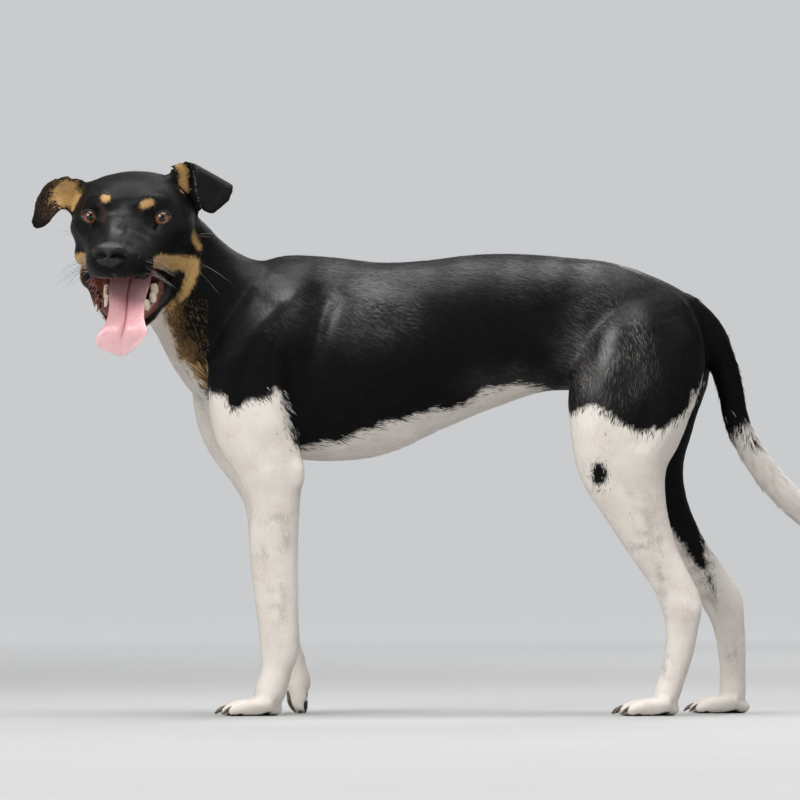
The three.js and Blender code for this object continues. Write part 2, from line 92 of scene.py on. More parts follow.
def spline(rows: Array, spans: int) -> Array:
    """A Catmull-Rom curve through the rows of a table.

    Each span is the cubic that leaves and meets its two rows with half the step between their neighbours.

    Args:
        rows: the table, one station per row.
        spans: how many rows each span gives.
    Returns:
        The finer table, with the first and the last row kept.
    """
    rows = np.asarray(rows, float)
    padded = np.vstack([2 * rows[0] - rows[1], rows, 2 * rows[-1] - rows[-2]])
    slope = (padded[2:] - padded[:-2]) / 2
    t = (np.arange(spans) / spans)[None, :, None]
    a, b, da, db = (v[:, None, :] for v in (rows[:-1], rows[1:], slope[:-1], slope[1:]))
    curve = (
        (2 * t**3 - 3 * t**2 + 1) * a
        + (t**3 - 2 * t**2 + t) * da
        + (3 * t**2 - 2 * t**3) * b
        + (t**3 - t**2) * db
    )
    return np.vstack([curve.reshape(-1, rows.shape[1]), rows[-1:]])


def waves(points: Array, length: float, seed: int, count: int = 10) -> Array:
    """Smooth noise in -1..1: the mean of plane sine waves in random directions, about ``length`` long."""
    rng = np.random.default_rng(seed)
    heading = unit(rng.normal(size=(count, 3))) * (2 * np.pi / length)
    heading *= rng.uniform(0.7, 1.4, (count, 1))
    phase = rng.uniform(0, 2 * np.pi, count)
    return np.sin(points @ heading.T + phase).sum(axis=1) * math.sqrt(2 / count) / 1.6


def to_path(points: Array, path: Table) -> Array:
    """The distance of each point to a chain of straight segments.

    Args:
        points: rows of 2 or 3 numbers.
        path: the ends of the segments, one after another.
    Returns:
        One distance for each point.
    """
    path = np.asarray(path, float)
    a, run = path[:-1], np.diff(path, axis=0)
    share = ((points[:, None, :] - a) * run).sum(-1) / np.maximum((run * run).sum(-1), 1e-9)
    near = a + np.clip(share, 0, 1)[..., None] * run
    return np.linalg.norm(points[:, None, :] - near, axis=-1).min(axis=1)


def inside_outline(points: Array, outline: Table) -> Array:
    """Signed distance of 2-D points to a closed outline, positive inside (even-odd rule)."""
    a = np.asarray(outline, float)
    closed = np.vstack([a, a[:1]])
    run = np.diff(closed, axis=0)
    gap = to_path(points, closed)
    x, y = points[:, :1], points[:, 1:]
    above = (a[:, 1] > y) != (closed[1:, 1] > y)
    rise = np.where(np.abs(run[:, 1]) < 1e-9, 1e-9, run[:, 1])
    crossings = (above & (x < a[:, 0] + (y - a[:, 1]) * run[:, 0] / rise)).sum(axis=1)
    return np.where(crossings % 2 == 1, gap, -gap)


def from_spot(points: Array, x: float, z: float, wide: float, high: float) -> Array:
    """Squared distance to a spot seen from the side, in the spot's half width and half height."""
    return ((points[:, 0] - x) / wide) ** 2 + ((points[:, 2] - z) / high) ** 2


def mirrored(path: Table, side: float) -> Array:
    """A path of x, y, z with its y times ``side``."""
    return np.array(path, float) * (1, side, 1)


def ridge(points: Array, path: Array, width: float, height: float) -> Array:
    """The height of a rounded ridge at each point: height exp(-(distance / width)^2)."""
    middle = path.mean(axis=0)
    reach = np.linalg.norm(path - middle, axis=1).max() + 3 * width
    inside = np.linalg.norm(points - middle, axis=1) < reach
    lift = np.zeros(len(points))
    lift[inside] = height * np.exp(-((to_path(points[inside], path) / width) ** 2))
    return lift


# -----------------------------------------------------------------------------
# Shells: points and faces, and the objects made of them
# -----------------------------------------------------------------------------


@dataclass
class Shell:
    """One closed surface: points in drawing millimetres, and its faces as arrays of corner indices."""

    points: Array
    faces: list[Array]

    def outward(self) -> Shell:
        """The shell with its faces turned out, so that its volume is positive.

        The volume is the sum of the tetrahedra from the faces' triangles to the origin.
        """
        volume = 0.0
        for corners in self.faces:
            first = self.points[corners[:, 0]]
            for k in range(1, corners.shape[1] - 1):
                second, third = self.points[corners[:, k]], self.points[corners[:, k + 1]]
                volume += float((first * np.cross(second, third)).sum())
        if volume >= 0:
            return self
        return Shell(self.points, [f[:, ::-1] for f in self.faces])


def join_shells(shells: list[Shell]) -> Shell:
    """Several shells as one, unmerged."""
    starts = np.cumsum([0] + [len(shell.points) for shell in shells[:-1]])
    faces = [f + start for shell, start in zip(shells, starts) for f in shell.faces]
    return Shell(np.vstack([shell.points for shell in shells]), faces)


def mesh_of(name: str, points: Array, faces: list[Array]) -> Mesh:
    """A mesh from arrays of points and of faces, written in whole arrays."""
    mesh = bpy.data.meshes.new(name)
    mesh.vertices.add(len(points))
    mesh.vertices.foreach_set("co", np.ascontiguousarray(points, np.float32).ravel())
    corners = np.concatenate([f.ravel() for f in faces]).astype(np.int32)
    sizes = np.concatenate([np.full(len(f), f.shape[1]) for f in faces])
    starts = np.concatenate([[0], np.cumsum(sizes)[:-1]]).astype(np.int32)
    mesh.loops.add(len(corners))
    mesh.loops.foreach_set("vertex_index", corners)
    mesh.polygons.add(len(sizes))
    mesh.polygons.foreach_set("loop_start", starts)
    mesh.update(calc_edges=True)
    mesh.validate()
    return mesh


def linked(name: str, mesh: Mesh) -> Object:
    """A mesh as an object of the scene, at the origin."""
    made = bpy.data.objects.new(name, mesh)
    bpy.context.scene.collection.objects.link(made)
    return made


def grid_quads(row: Array, next_row: Array, col: Array, next_col: Array) -> Array:
    """The quads of a grid, from the numbers at which rows start and the columns in them."""
    quads = np.stack([row + col, row + next_col, next_row + next_col, next_row + col], -1)
    return quads.reshape(-1, 4)


def tube(rings: Array) -> Shell:
    """A closed skin over rings, with a fan to the middle of each end.

    Args:
        rings: points as (rows, around, 3).
    Returns:
        The shell, its faces outward.
    """
    rows, around, _ = rings.shape
    ends = np.stack([rings[0].mean(axis=0), rings[-1].mean(axis=0)])
    row, col = np.arange(rows - 1)[:, None] * around, np.arange(around)[None, :]
    after = (col + 1) % around
    sides = grid_quads(row, row + around, col, after)
    first, last = rows * around, rows * around + 1
    top = (rows - 1) * around
    col, after = col[0], after[0]
    fan_a = np.stack([np.full(around, first), after, col], -1)
    fan_b = np.stack([np.full(around, last), top + col, top + after], -1)
    points = np.vstack([rings.reshape(-1, 3), ends])
    return Shell(points, [sides, np.vstack([fan_a, fan_b])]).outward()


def path_frames(path: Array, top: Point) -> tuple[Array, Array, Array]:
    """The frame of a path at each point.

    Args:
        path: its points.
        top: the direction that the frames' up leans to.
    Returns:
        The tangent, the up square to it, and the side square to both.
    """
    top = np.asarray(top, float)
    along = unit(np.gradient(path, axis=0))
    up = unit(top - (along @ top)[:, None] * along)
    return along, up, np.cross(along, up)


def section(angle: Array, fullness: float) -> tuple[Array, Array]:
    """A superellipse's height and width at each angle.

    They are the cosine and the sine to the power 2 / fullness, with their signs kept.
    """
    high, wide = np.cos(angle), np.sin(angle)
    power = 2 / fullness
    return np.sign(high) * np.abs(high) ** power, np.sign(wide) * np.abs(wide) ** power


@dataclass(frozen=True)
class Bulge:
    """A soft swelling of a loft: ``height`` at its middle, fading as a Gaussian of the given size."""

    at: Point
    size: float
    height: float


@dataclass(frozen=True)
class Loft:
    """A body part drawn as sections along a path.

    Attributes:
        stations: rows of x, y, z and the reach up, down and to each side.
        top: the direction that a section's up leans to.
        around: points in a section.
        fullness: 2 for an ellipse, more for a boxier section.
        bulges: soft swellings.
        spans: rows of points between two stations.
    """

    stations: Table
    top: Point = (0.0, 0.0, 1.0)
    around: int = 64
    fullness: float = 2.1
    bulges: tuple[Bulge, ...] = ()
    spans: int = 8

    def shell(self, grow: float = 0.0) -> Shell:
        """The closed surface, ``grow`` larger on every side."""
        rows = spline(self.stations, self.spans)
        _, up, side = path_frames(rows[:, :3], self.top)
        angle = np.linspace(0, 2 * np.pi, self.around, endpoint=False)
        high, wide = section(angle, self.fullness)
        reach = np.maximum(rows[:, 3:], 0.5) + grow
        rise = np.maximum(high, 0) * reach[:, :1] + np.minimum(high, 0) * reach[:, 1:2]
        out = up[:, None, :] * rise[..., None] + side[:, None, :] * (wide * reach[:, 2:3])[..., None]
        rings = rows[:, None, :3] + out
        away = unit(out)
        for bulge in self.bulges:
            gap = ((rings - np.array(bulge.at)) ** 2).sum(-1)
            rings = rings + away * (bulge.height * np.exp(-gap / (2 * bulge.size**2)))[..., None]
        return tube(rings)


@dataclass(frozen=True)
class Leaf:
    """A bent leaf, thin at its rims, such as an ear or the tongue.

    Attributes:
        ribs: rows of x, y, z, the direction across (3 numbers), half width, cup and thickness.
        facing: the way that its cupped side faces.
        lines: points across one side.
        spans: rows of points between two ribs.
        rim: thickness of the rim as a share of the middle's.
    """

    ribs: Table
    facing: Point
    lines: int = 21
    spans: int = 8
    rim: float = 0.4

    def sheet(self) -> tuple[Array, Array, Array, Array, Array]:
        """The rows of the leaf.

        Returns:
            Middle, direction across, normal to the cupped side, half width, and (cup, thickness).
        """
        rows = spline(self.ribs, self.spans)
        middle, across = rows[:, :3], unit(rows[:, 3:6])
        normal = unit(np.cross(unit(np.gradient(middle, axis=0)), across))
        normal *= np.sign(normal[0] @ np.array(self.facing))
        return middle, across, normal, np.maximum(rows[:, 6], 0.6), rows[:, 7:9]

    def shell(self, relief: Array | None = None) -> Shell:
        """The closed surface; ``relief`` (rows, lines) lifts the cupped side.

        A point lies at w from -1 to 1 across. The cup times w squared takes it forward, and half the
        thickness, which falls to its rim's share as w squared, takes it to each side.
        """
        middle, across, normal, half, shape = self.sheet()
        w = np.sin(np.linspace(-np.pi / 2, np.pi / 2, self.lines))
        cup = shape[:, :1] * w**2
        thick = np.maximum(shape[:, 1:2], 0.8) * (1 - (1 - self.rim) * w**2) / 2
        lift = np.zeros_like(cup) if relief is None else relief
        flat = middle[:, None, :] + across[:, None, :] * (half[:, None] * w)[..., None]
        front = flat + normal[:, None, :] * (cup + thick + lift)[..., None]
        back = flat + normal[:, None, :] * (cup - thick)[..., None]
        return tube(np.concatenate([front, back[:, ::-1]], axis=1))


def ball(at: Point | Array, stretch: Point | Array, rows: int, around: int) -> Shell:
    """An ellipsoid from sines and cosines of latitude and longitude."""
    lat = np.linspace(0, np.pi, rows + 2)[1:-1, None]
    lon = np.linspace(0, 2 * np.pi, around, endpoint=False)[None, :]
    flat = np.stack([np.sin(lat) * np.cos(lon), np.sin(lat) * np.sin(lon), np.cos(lat) + 0 * lon], -1)
    return tube(np.asarray(at) + flat * np.asarray(stretch))


def pipe(path: Array, radius: Array, around: int = 10, squash: float = 1.0) -> Shell:
    """A closed pipe along a path, with its own radius at each point and its height squashed."""
    _, up, side = path_frames(path, (0.0, 0.0, 1.0))
    angle = np.linspace(0, 2 * np.pi, around, endpoint=False)[None, :, None]
    ring = up[:, None] * (squash * np.cos(angle)) + side[:, None] * np.sin(angle)
    return tube(path[:, None, :] + ring * np.asarray(radius)[:, None, None])


def ring_pipe(path: Array, outward: Array, reach: Array, around: int = 12) -> Shell:
    """A closed ring along a closed path, with an ellipse for its section.

    Args:
        path: the closed path, without its first point again.
        outward: the direction of the ellipse's first axis at each point.
        reach: rows of the ellipse's two half axes.
        around: points in a section.
    Returns:
        The shell, its faces outward.
    """
    along = unit(np.roll(path, -1, axis=0) - np.roll(path, 1, axis=0))
    other = unit(np.cross(along, outward))
    angle = np.linspace(0, 2 * np.pi, around, endpoint=False)
    out = outward[:, None] * (np.cos(angle) * reach[:, :1])[..., None]
    out = out + other[:, None] * (np.sin(angle) * reach[:, 1:])[..., None]
    rings = path[:, None, :] + out
    row, col = np.arange(len(path))[:, None] * around, np.arange(around)[None, :]
    quads = grid_quads(row, np.roll(row, -1, axis=0), col, (col + 1) % around)
    return Shell(rings.reshape(-1, 3), [quads]).outward()


# -----------------------------------------------------------------------------
# The drawing: the same outlines as the solids', in millimetres
# -----------------------------------------------------------------------------

FLOOR = -3.0  # height of the soles in the drawing frame, before their flats are cut
SOLE = FLOOR + 1.0  # height of the flats
HEAD_TURN = math.radians(8)
HEAD_DROP = math.radians(12)
HEAD_ROLL = math.radians(-1.2)
BETWEEN_EYES = np.array([-271.0, -88.0, 488.6])
EYE_RADIUS = 10.5
EYE_SPREAD = 36.0
EYE_DEPTH = -4.0

# Along the trunk: distance, height of the back, height of the belly, half width.
TRUNK = [
    (-206, 350, 312, 20), (-192, 388, 290, 38), (-160, 434, 267, 52), (-115, 457, 252, 62),
    (-60, 456, 250, 69), (-15, 451, 258, 73), (30, 453, 278, 71), (70, 458, 295, 65),
    (105, 460, 308, 58), (140, 459, 319, 54), (175, 456, 320, 53), (215, 451, 314, 53),
    (255, 438, 313, 48), (286, 422, 330, 36), (304, 401, 352, 20),
]
TRUNK_RISE = 0.06
TRUNK_WIDEST = 362.0
# Stations: middle (x, y, z), then the reach up, down and to each side.
NECK = [
    (-118, 0, 345, 84, 76, 46), (-150, 0, 362, 88, 74, 53), (-178, -1, 386, 91, 66, 53),
    (-203, -6, 415, 65, 56, 50), (-224, -14, 443, 54, 56, 48), (-238, -24, 466, 50, 52, 45),
    (-246, -34, 484, 40, 42, 38),
]
TAIL = [
    (262, 0, 410, 14, 20, 15), (285, 0, 402, 18, 22, 17), (307, 0, 378, 20, 19, 17),
    (322, 0, 350, 17, 17, 16), (331, 1, 322, 15, 16, 15.5), (336, 2, 296, 14.5, 15.5, 15),
    (346, 4, 272, 14, 15.5, 15), (362, 6, 246, 13.5, 15.5, 14.5), (381, 8, 223, 13.5, 15.5, 14),
    (401, 10, 203, 13.5, 15, 13.5), (422, 11, 184, 11.5, 12.5, 11.5), (441, 12, 168, 8, 9, 8.5),
    (458, 13, 154, 4, 4, 4),
]
# Reach of a leg forward, backward and to each side, level by level from the top.
FORELEG_GIRTH = [
    (22, 24, 12), (34, 38, 20), (38, 48, 25), (38, 47, 25.5), (31, 38, 22), (26, 27, 18.5),
    (25.5, 25, 16), (22.5, 22.5, 14), (20.5, 19.5, 14.5), (15.5, 17, 15), (15.5, 17, 19), (13, 12, 18),
]
HINDLEG_GIRTH = [
    (34, 36, 12), (54, 58, 24), (68, 66, 30), (67, 57, 30.5), (50, 46, 26), (34, 32, 19.5), (24, 24, 15.5),
    (22, 19, 12.5), (24, 19, 13), (19, 15.5, 11.5), (16.5, 13.5, 11.5), (14.5, 13, 12.5), (14, 14, 16.5),
    (11, 11, 16),
]
# Middle line of each leg: x, distance from the middle plane, height.
FORELEG_LEFT = [
    (-108, 27, 432), (-128, 42, 400), (-152, 49, 345), (-150, 50, 290), (-132, 50, 242), (-125, 50, 208),
    (-125, 50, 160), (-122, 51, 110), (-119, 52, 70), (-123.5, 53, 42), (-130, 54, 20), (-133, 54, 7),
]
FORELEG_RIGHT = [
    (-114, 27, 432), (-140, 42, 400), (-170, 49, 345), (-166, 50, 290), (-142, 50, 242), (-131, 50, 208),
    (-127, 50, 160), (-124, 50, 110), (-119, 50, 68), (-112, 50, 46), (-106, 50, 28), (-105, 50, 17),
]
HINDLEG_LEFT = [
    (230, 18, 420), (236, 31, 392), (238, 42, 350), (231, 46, 300), (223, 48, 250), (234, 49, 205),
    (251, 50, 163), (270, 51, 132), (281, 52, 108), (281, 52, 84), (278, 52, 60), (271, 53, 37),
    (264, 53, 19), (262, 53, 7),
]
HINDLEG_RIGHT = [
    (238, 18, 420), (246, 31, 392), (248, 42, 350), (243, 46, 300), (244, 48, 252), (260, 48, 208),
    (284, 48, 168), (310, 49, 138), (327, 50, 112), (333, 51, 86), (336, 51, 60), (336, 51, 37),
    (335, 51, 19), (334, 51, 7),
]
# Head frame: x forward to the nose, y to the dog's left, z up, 0 between the eyes.
SKULL = [
    (-119, 0, -12, 10, 14, 14), (-113, 0, -11, 22, 28, 30), (-101, 0, -9, 32, 36, 41),
    (-82, 1, -10, 45, 46, 54), (-55, 1.5, -11, 51, 51, 61), (-31, 1.5, -13, 52, 52, 61),
    (-13, 1, -17, 46, 47, 55), (3, 0.5, -23, 32, 38, 44), (20, 0, -30, 25, 28, 36.5),
    (42, -0.5, -33, 21, 24, 33), (58, -1.5, -32.5, 18, 20, 28), (68, -2, -31, 14, 16, 22),
    (74, -2.3, -30, 10, 12, 15),
]
JAW = [
    (-78, 0, -46, 22, 20, 42), (-58, 0, -52, 24, 22, 47), (-34, 1.5, -63, 19, 22, 50),
    (-10, 4, -76, 15, 17, 43), (12, 6, -87, 11, 15, 36), (30, 6.5, -96, 9, 12, 24),
    (42, 6.5, -101, 7.5, 9, 16), (48, 6.5, -104, 6, 7, 10),
]
MOUTH_FLOOR = [
    (-48, 1, -54, 14, 6, 26), (-30, 2, -58, 14, 4, 38), (-8, 4, -64, 14, 4, 37), (14, 6, -74, 12, 5, 29),
    (32, 6.5, -84, 10, 5, 18), (42, 6.5, -90, 9, 4, 11),
]
PALATE = [
    (-48, 1, -56, 10, 16, 26), (-24, 2, -60, 12, 16, 38), (2, 1, -62, 14, 14, 35), (26, 0, -60, 14, 12, 28),
    (46, 0, -56, 13, 10, 23), (60, 0, -53, 9, 8, 16),
]
# Lower teeth: forward, left, half length, half width, height of the tip.
TEETH = [(8, 29, 5, 3, -63), (20, 29.5, 3.8, 2.8, -70), (32, 25, 3.4, 3, -75), (10, -18, 4.4, 3, -64),
         (24, -15, 3.6, 2.8, -72)]
# Leaves: middle (x, y, z), direction across (x, y, z), half width, cup, thickness.
TONGUE = [
    (-40, 1, -57, 0, 1, 0, 15, 1, 8), (-16, 3, -61, 0, 1, 0, 19, 2, 9), (4, 4, -67, 0, 1, 0, 20, 2, 9),
    (20, 5, -75, 0, 1, 0.01, 18.5, 2, 8.5), (36, 7, -84, 0, 1, 0.02, 17.6, 1.5, 8),
    (48, 8, -92, 0, 1, 0.04, 18.2, 1, 7.5), (56, 7.5, -100, 0, 1, 0.1, 22, 1, 7),
    (58.5, 6, -107, 0, 1, 0.17, 26, 1.5, 6.5), (58, 5, -114, 0, 1, 0.18, 22, 2, 6),
    (57, 5, -121, 0, 1, 0.14, 13, 1.5, 5), (56, 5, -127, 0, 1, 0.1, 4, 0, 3.5),
]
EAR_RIGHT = [
    (-50, -44, 9, 0, -0.46, -0.89, 18, 5, 5), (-44, -54, 14, 0, -0.35, -0.94, 20, 6, 4.5),
    (-38, -66, 19, 0, -0.02, -1, 17.5, 6, 3.8), (-33, -74, 19, 0, 0.26, -0.96, 16, 5, 3.4),
    (-29, -81, 14, 0, 0.45, -0.89, 14.5, 4, 3.4), (-26, -86, 6, 0, 0.65, -0.76, 12.5, 3, 3.2),
    (-24, -90, -3, 0, 0.86, -0.51, 10.5, 2, 3), (-23, -93, -11, 0, 0.96, -0.27, 7.9, 1, 2.8),
    (-22, -94, -16.5, 0, 0.99, -0.13, 3.6, 0, 2.4),
]
EAR_LEFT = [
    (-56, 46, 12, -0.18, 0.61, -0.78, 21, 5, 5), (-55, 54, 24, -0.14, 0.7, -0.7, 25, 5, 4.5),
    (-51, 65, 35, -0.11, 0.84, -0.53, 28, 3, 3.8), (-44, 76, 40, -0.05, 0.87, -0.49, 27, 0, 3.4),
    (-37, 82, 34, -0.09, 0.86, -0.51, 22, -2, 3.4), (-34, 83, 23, -0.14, 0.91, -0.39, 18.2, -3, 3.2),
    (-30, 80, 11, -0.13, 0.93, -0.35, 11.6, -2, 3), (-28, 78, 2, 0, 0.94, -0.33, 5.4, 0, 2.4),
]
NOSE = [(60, -2, -25, 9, 10, 13), (67, -2.3, -24.5, 12, 13, 16.5), (75, -2.5, -24.5, 11.5, 13, 16),
        (80, -2.6, -25.5, 8.5, 9.5, 12), (82, -2.6, -26, 4, 5, 7)]
# A toe from its root forward: distance, height, reach up, down and sideways.
TOE_PROFILE = [(-10, 15, 6, 10, 7), (8, 10.5, 8.5, 10, 8.4), (24, 9, 8, 8.5, 7.8), (35, 6.5, 5.5, 6, 6),
               (40.5, 5, 3, 4, 4)]
TOE_LENGTH = 40.5
# A claw from inside the toe forward: distance, height, radius.
CLAW_PROFILE = [(28, 9.5, 2.2), (35, 9, 2.5), (41.5, 6.5, 1.8), (46, 3, 0.7)]
# Toes across a foot: distance from the middle, fan, share of the longest.
TOES = [(-14, -0.2, 0.84), (-5, -0.06, 1.0), (5, 0.06, 1.0), (14, 0.2, 0.84)]


@dataclass(frozen=True)
class Foot:
    """Where a foot stands in the drawing frame, and how its toes and claws lie.

    Attributes:
        at: the middle of its sole.
        toes, up: the ways that its toes and its back point.
        reach: length of the toes as a share of their own.
        claws: how far the claws are slid forward and up.
    """

    at: Point
    toes: Point
    up: Point = (0.0, 0.0, 1.0)
    reach: float = 1.0
    claws: tuple[float, float] = (0.0, 0.0)

    def axes(self) -> Array:
        """Rows: forward along the toes, to the foot's left, and up from the sole."""
        forward = unit(np.array(self.toes, float))
        left = unit(np.cross(np.array(self.up, float), forward))
        return np.stack([forward, left, np.cross(forward, left)])

    def place(self, points: Array) -> Array:
        """Points of the foot's own frame in the drawing frame."""
        return np.array(self.at) + points @ self.axes()

    def placed(self, shell: Shell) -> Shell:
        """A shell of the foot's own frame in the drawing frame."""
        return Shell(self.place(shell.points), shell.faces).outward()


FEET = {
    "forepaw_left": Foot((-137, -54, FLOOR), (-1, -0.06, 0)),
    "forepaw_right": Foot((-92.5, 50, 20.5), (0, 0.04, -1), (-1, 0, 0), 0.58, (-7.6, 9.5)),
    "hindpaw_left": Foot((256, -53, FLOOR), (-1, -0.06, 0)),
    "hindpaw_right": Foot((332, 51, FLOOR), (-1, 0.1, 0)),
}


def pair(x: float, y: float, z: float, size: float, height: float) -> tuple[Bulge, Bulge]:
    """The same bulge on both sides of the face."""
    return Bulge((x, y, z), size, height), Bulge((x, -y, z), size, height)


@dataclass(frozen=True)
class Drawing:
    """The drawing frame and the head's frame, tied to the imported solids.

    Attributes:
        shift: what takes a drawing point to the solids' frame, in millimetres.
        head: rows are the head's forward, left and up in the drawing frame.
    """

    shift: Array
    head: Array

    @classmethod
    def from_solids(cls) -> Drawing:
        """Measures the shift between the middle of the two eyes as drawn and as packed."""
        forward = np.array([
            -math.sin(HEAD_TURN) * math.cos(HEAD_DROP),
            -math.cos(HEAD_TURN) * math.cos(HEAD_DROP),
            -math.sin(HEAD_DROP),
        ])
        level = np.array([math.cos(HEAD_TURN), -math.sin(HEAD_TURN), 0.0])
        left = level * math.cos(HEAD_ROLL) + np.cross(forward, level) * math.sin(HEAD_ROLL)
        head = np.stack([forward, left, np.cross(forward, left)])
        boxes = [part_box(name) for name in ("eye_left", "eye_right")]
        packed = np.mean([(np.array(low) + np.array(high)) / 2 for low, high in boxes], axis=0) / MM
        drawn = BETWEEN_EYES + EYE_DEPTH * forward
        return cls(packed - drawn, head)

    def from_head(self, points: Array) -> Array:
        """Head-frame points in the drawing frame."""
        return BETWEEN_EYES + np.asarray(points, float) @ self.head

    def into_head(self, points: Array) -> Array:
        """Drawing points in the head's frame."""
        return (points - BETWEEN_EYES) @ self.head.T

    def to_solids(self, points: Array) -> Array:
        """Drawing points in the frame of the solids, in metres."""
        return (points + self.shift) * MM


class Part(IntEnum):
    """The regions of the body that share a lie of the coat."""

    TRUNK = 0
    NECK = 1
    TAIL = 2
    FORELEG_LEFT = 3
    FORELEG_RIGHT = 4
    HINDLEG_LEFT = 5
    HINDLEG_RIGHT = 6
    HEAD = 7
    JAW = 8
    EAR_LEFT = 9
    EAR_RIGHT = 10
    PAW_LEFT_FORE = 11
    PAW_RIGHT_FORE = 12
    PAW_LEFT_HIND = 13
    PAW_RIGHT_HIND = 14


FORELEGS = (Part.FORELEG_LEFT, Part.FORELEG_RIGHT)
HINDLEGS = (Part.HINDLEG_LEFT, Part.HINDLEG_RIGHT)
EARS = (Part.EAR_LEFT, Part.EAR_RIGHT)
FACE = (Part.HEAD, Part.JAW)
PAWS = {
    Part.PAW_LEFT_FORE: "forepaw_left",
    Part.PAW_RIGHT_FORE: "forepaw_right",
    Part.PAW_LEFT_HIND: "hindpaw_left",
    Part.PAW_RIGHT_HIND: "hindpaw_right",
}
LEG_LINES = {
    Part.FORELEG_LEFT: (FORELEG_LEFT, FORELEG_GIRTH, -1),
    Part.FORELEG_RIGHT: (FORELEG_RIGHT, FORELEG_GIRTH, 1),
    Part.HINDLEG_LEFT: (HINDLEG_LEFT, HINDLEG_GIRTH, -1),
    Part.HINDLEG_RIGHT: (HINDLEG_RIGHT, HINDLEG_GIRTH, 1),
}
SKULL_BULGES = (
    *pair(-2, 22, 20, 9, 3),
    *pair(7, 37, 0, 8.5, -6),
    *pair(-18, 52, -50, 14, 5),
    Bulge((10, 0, -4), 9, -2),
    *pair(34, 28, -52, 11, 6),
)


@dataclass
class Anatomy:
    """All lofts of the body.

    Attributes:
        drawing: the frames.
        heel, heel_size: middle and half sizes of a foot's heel, in the foot's frame.
        lofts: body part to loft, in the drawing frame.
        head_lofts, ears: parts drawn in the head's frame.
    """

    drawing: Drawing
    heel: Point = (-8.0, 0.0, 7.5)
    heel_size: Point = (14.0, 14.5, 8.0)
    lofts: dict[Part, Loft] = field(init=False)
    head_lofts: dict[Part, Loft] = field(init=False)
    ears: dict[Part, Leaf] = field(init=False)

    def __post_init__(self) -> None:
        """Fills the tables of lofts."""
        trunk = np.array(TRUNK, float)
        middle = TRUNK_WIDEST + TRUNK_RISE * trunk[:, 0]
        above, below = trunk[:, 1] - middle, middle - trunk[:, 2]
        stations = np.stack([trunk[:, 0], 0 * middle, middle, above, below, trunk[:, 3]], -1)
        self.lofts = {
            Part.TRUNK: Loft(stations, (0, 0, 1), 96, 2.15),
            Part.NECK: Loft(NECK, (0.75, 0, 0.66), 72, 2.1),
            Part.TAIL: Loft(TAIL, (1, 0, 0.4), 32, 2.0),
        }
        for part, (line, girth, side) in LEG_LINES.items():
            rows = np.hstack([mirrored(line, side), np.array(girth, float)])
            self.lofts[part] = Loft(rows, (-1, 0, 0), 48, 2.1)
        self.head_lofts = {
            Part.HEAD: Loft(SKULL, (0, 0, 1), 96, 2.2, SKULL_BULGES),
            Part.JAW: Loft(JAW, (0, 0, 1), 64, 2.2),
        }
        self.ears = {
            Part.EAR_LEFT: Leaf(EAR_LEFT, (1, 0, 0.1)),
            Part.EAR_RIGHT: Leaf(EAR_RIGHT, (1, 0, 0.1)),
        }

    def in_drawing(self, shell: Shell) -> Shell:
        """A shell of the head's frame, in the drawing frame."""
        return Shell(self.drawing.from_head(shell.points), shell.faces)

    def stout(self, ear: Leaf) -> Leaf:
        """An ear wide and thick enough to be melted into the skin whole."""
        ribs = np.array(ear.ribs, float)
        ribs[:, 6] += 0.9
        ribs[:, 8] = np.maximum(ribs[:, 8], 4.0)
        return Leaf(ribs, ear.facing, ear.lines, ear.spans, 0.75)

    def toe_line(self, foot: Foot, toe: Point) -> Array:
        """Stations of one toe in its foot's frame.

        Args:
            foot: the toe's foot.
            toe: its row of ``TOES``.
        Returns:
            Rows of place and reach, from the root forward.
        """
        across, fan, length = toe
        rows = np.array(TOE_PROFILE, float)
        ahead = np.maximum(rows[:, 0], 0) * length * foot.reach
        forward = np.minimum(rows[:, 0], 0) + ahead
        return np.stack([forward, across + fan * ahead, *rows[:, 1:].T], -1)

    def foot_shells(self, foot: Foot) -> list[Shell]:
        """Four toes and the heel of one foot, in the drawing frame."""
        shells = [Loft(self.toe_line(foot, toe), (0, 0, 1), 24, 2.0).shell() for toe in TOES]
        shells.append(ball(self.heel, self.heel_size, 16, 24))
        return [foot.placed(shell) for shell in shells]

    def body_shells(self) -> list[Shell]:
        """Everything but the skull and the jaw, which are hollowed first."""
        shells = [loft.shell() for loft in self.lofts.values()]
        shells += [self.in_drawing(self.stout(leaf).shell()) for leaf in self.ears.values()]
        for foot in FEET.values():
            shells += self.foot_shells(foot)
        return shells


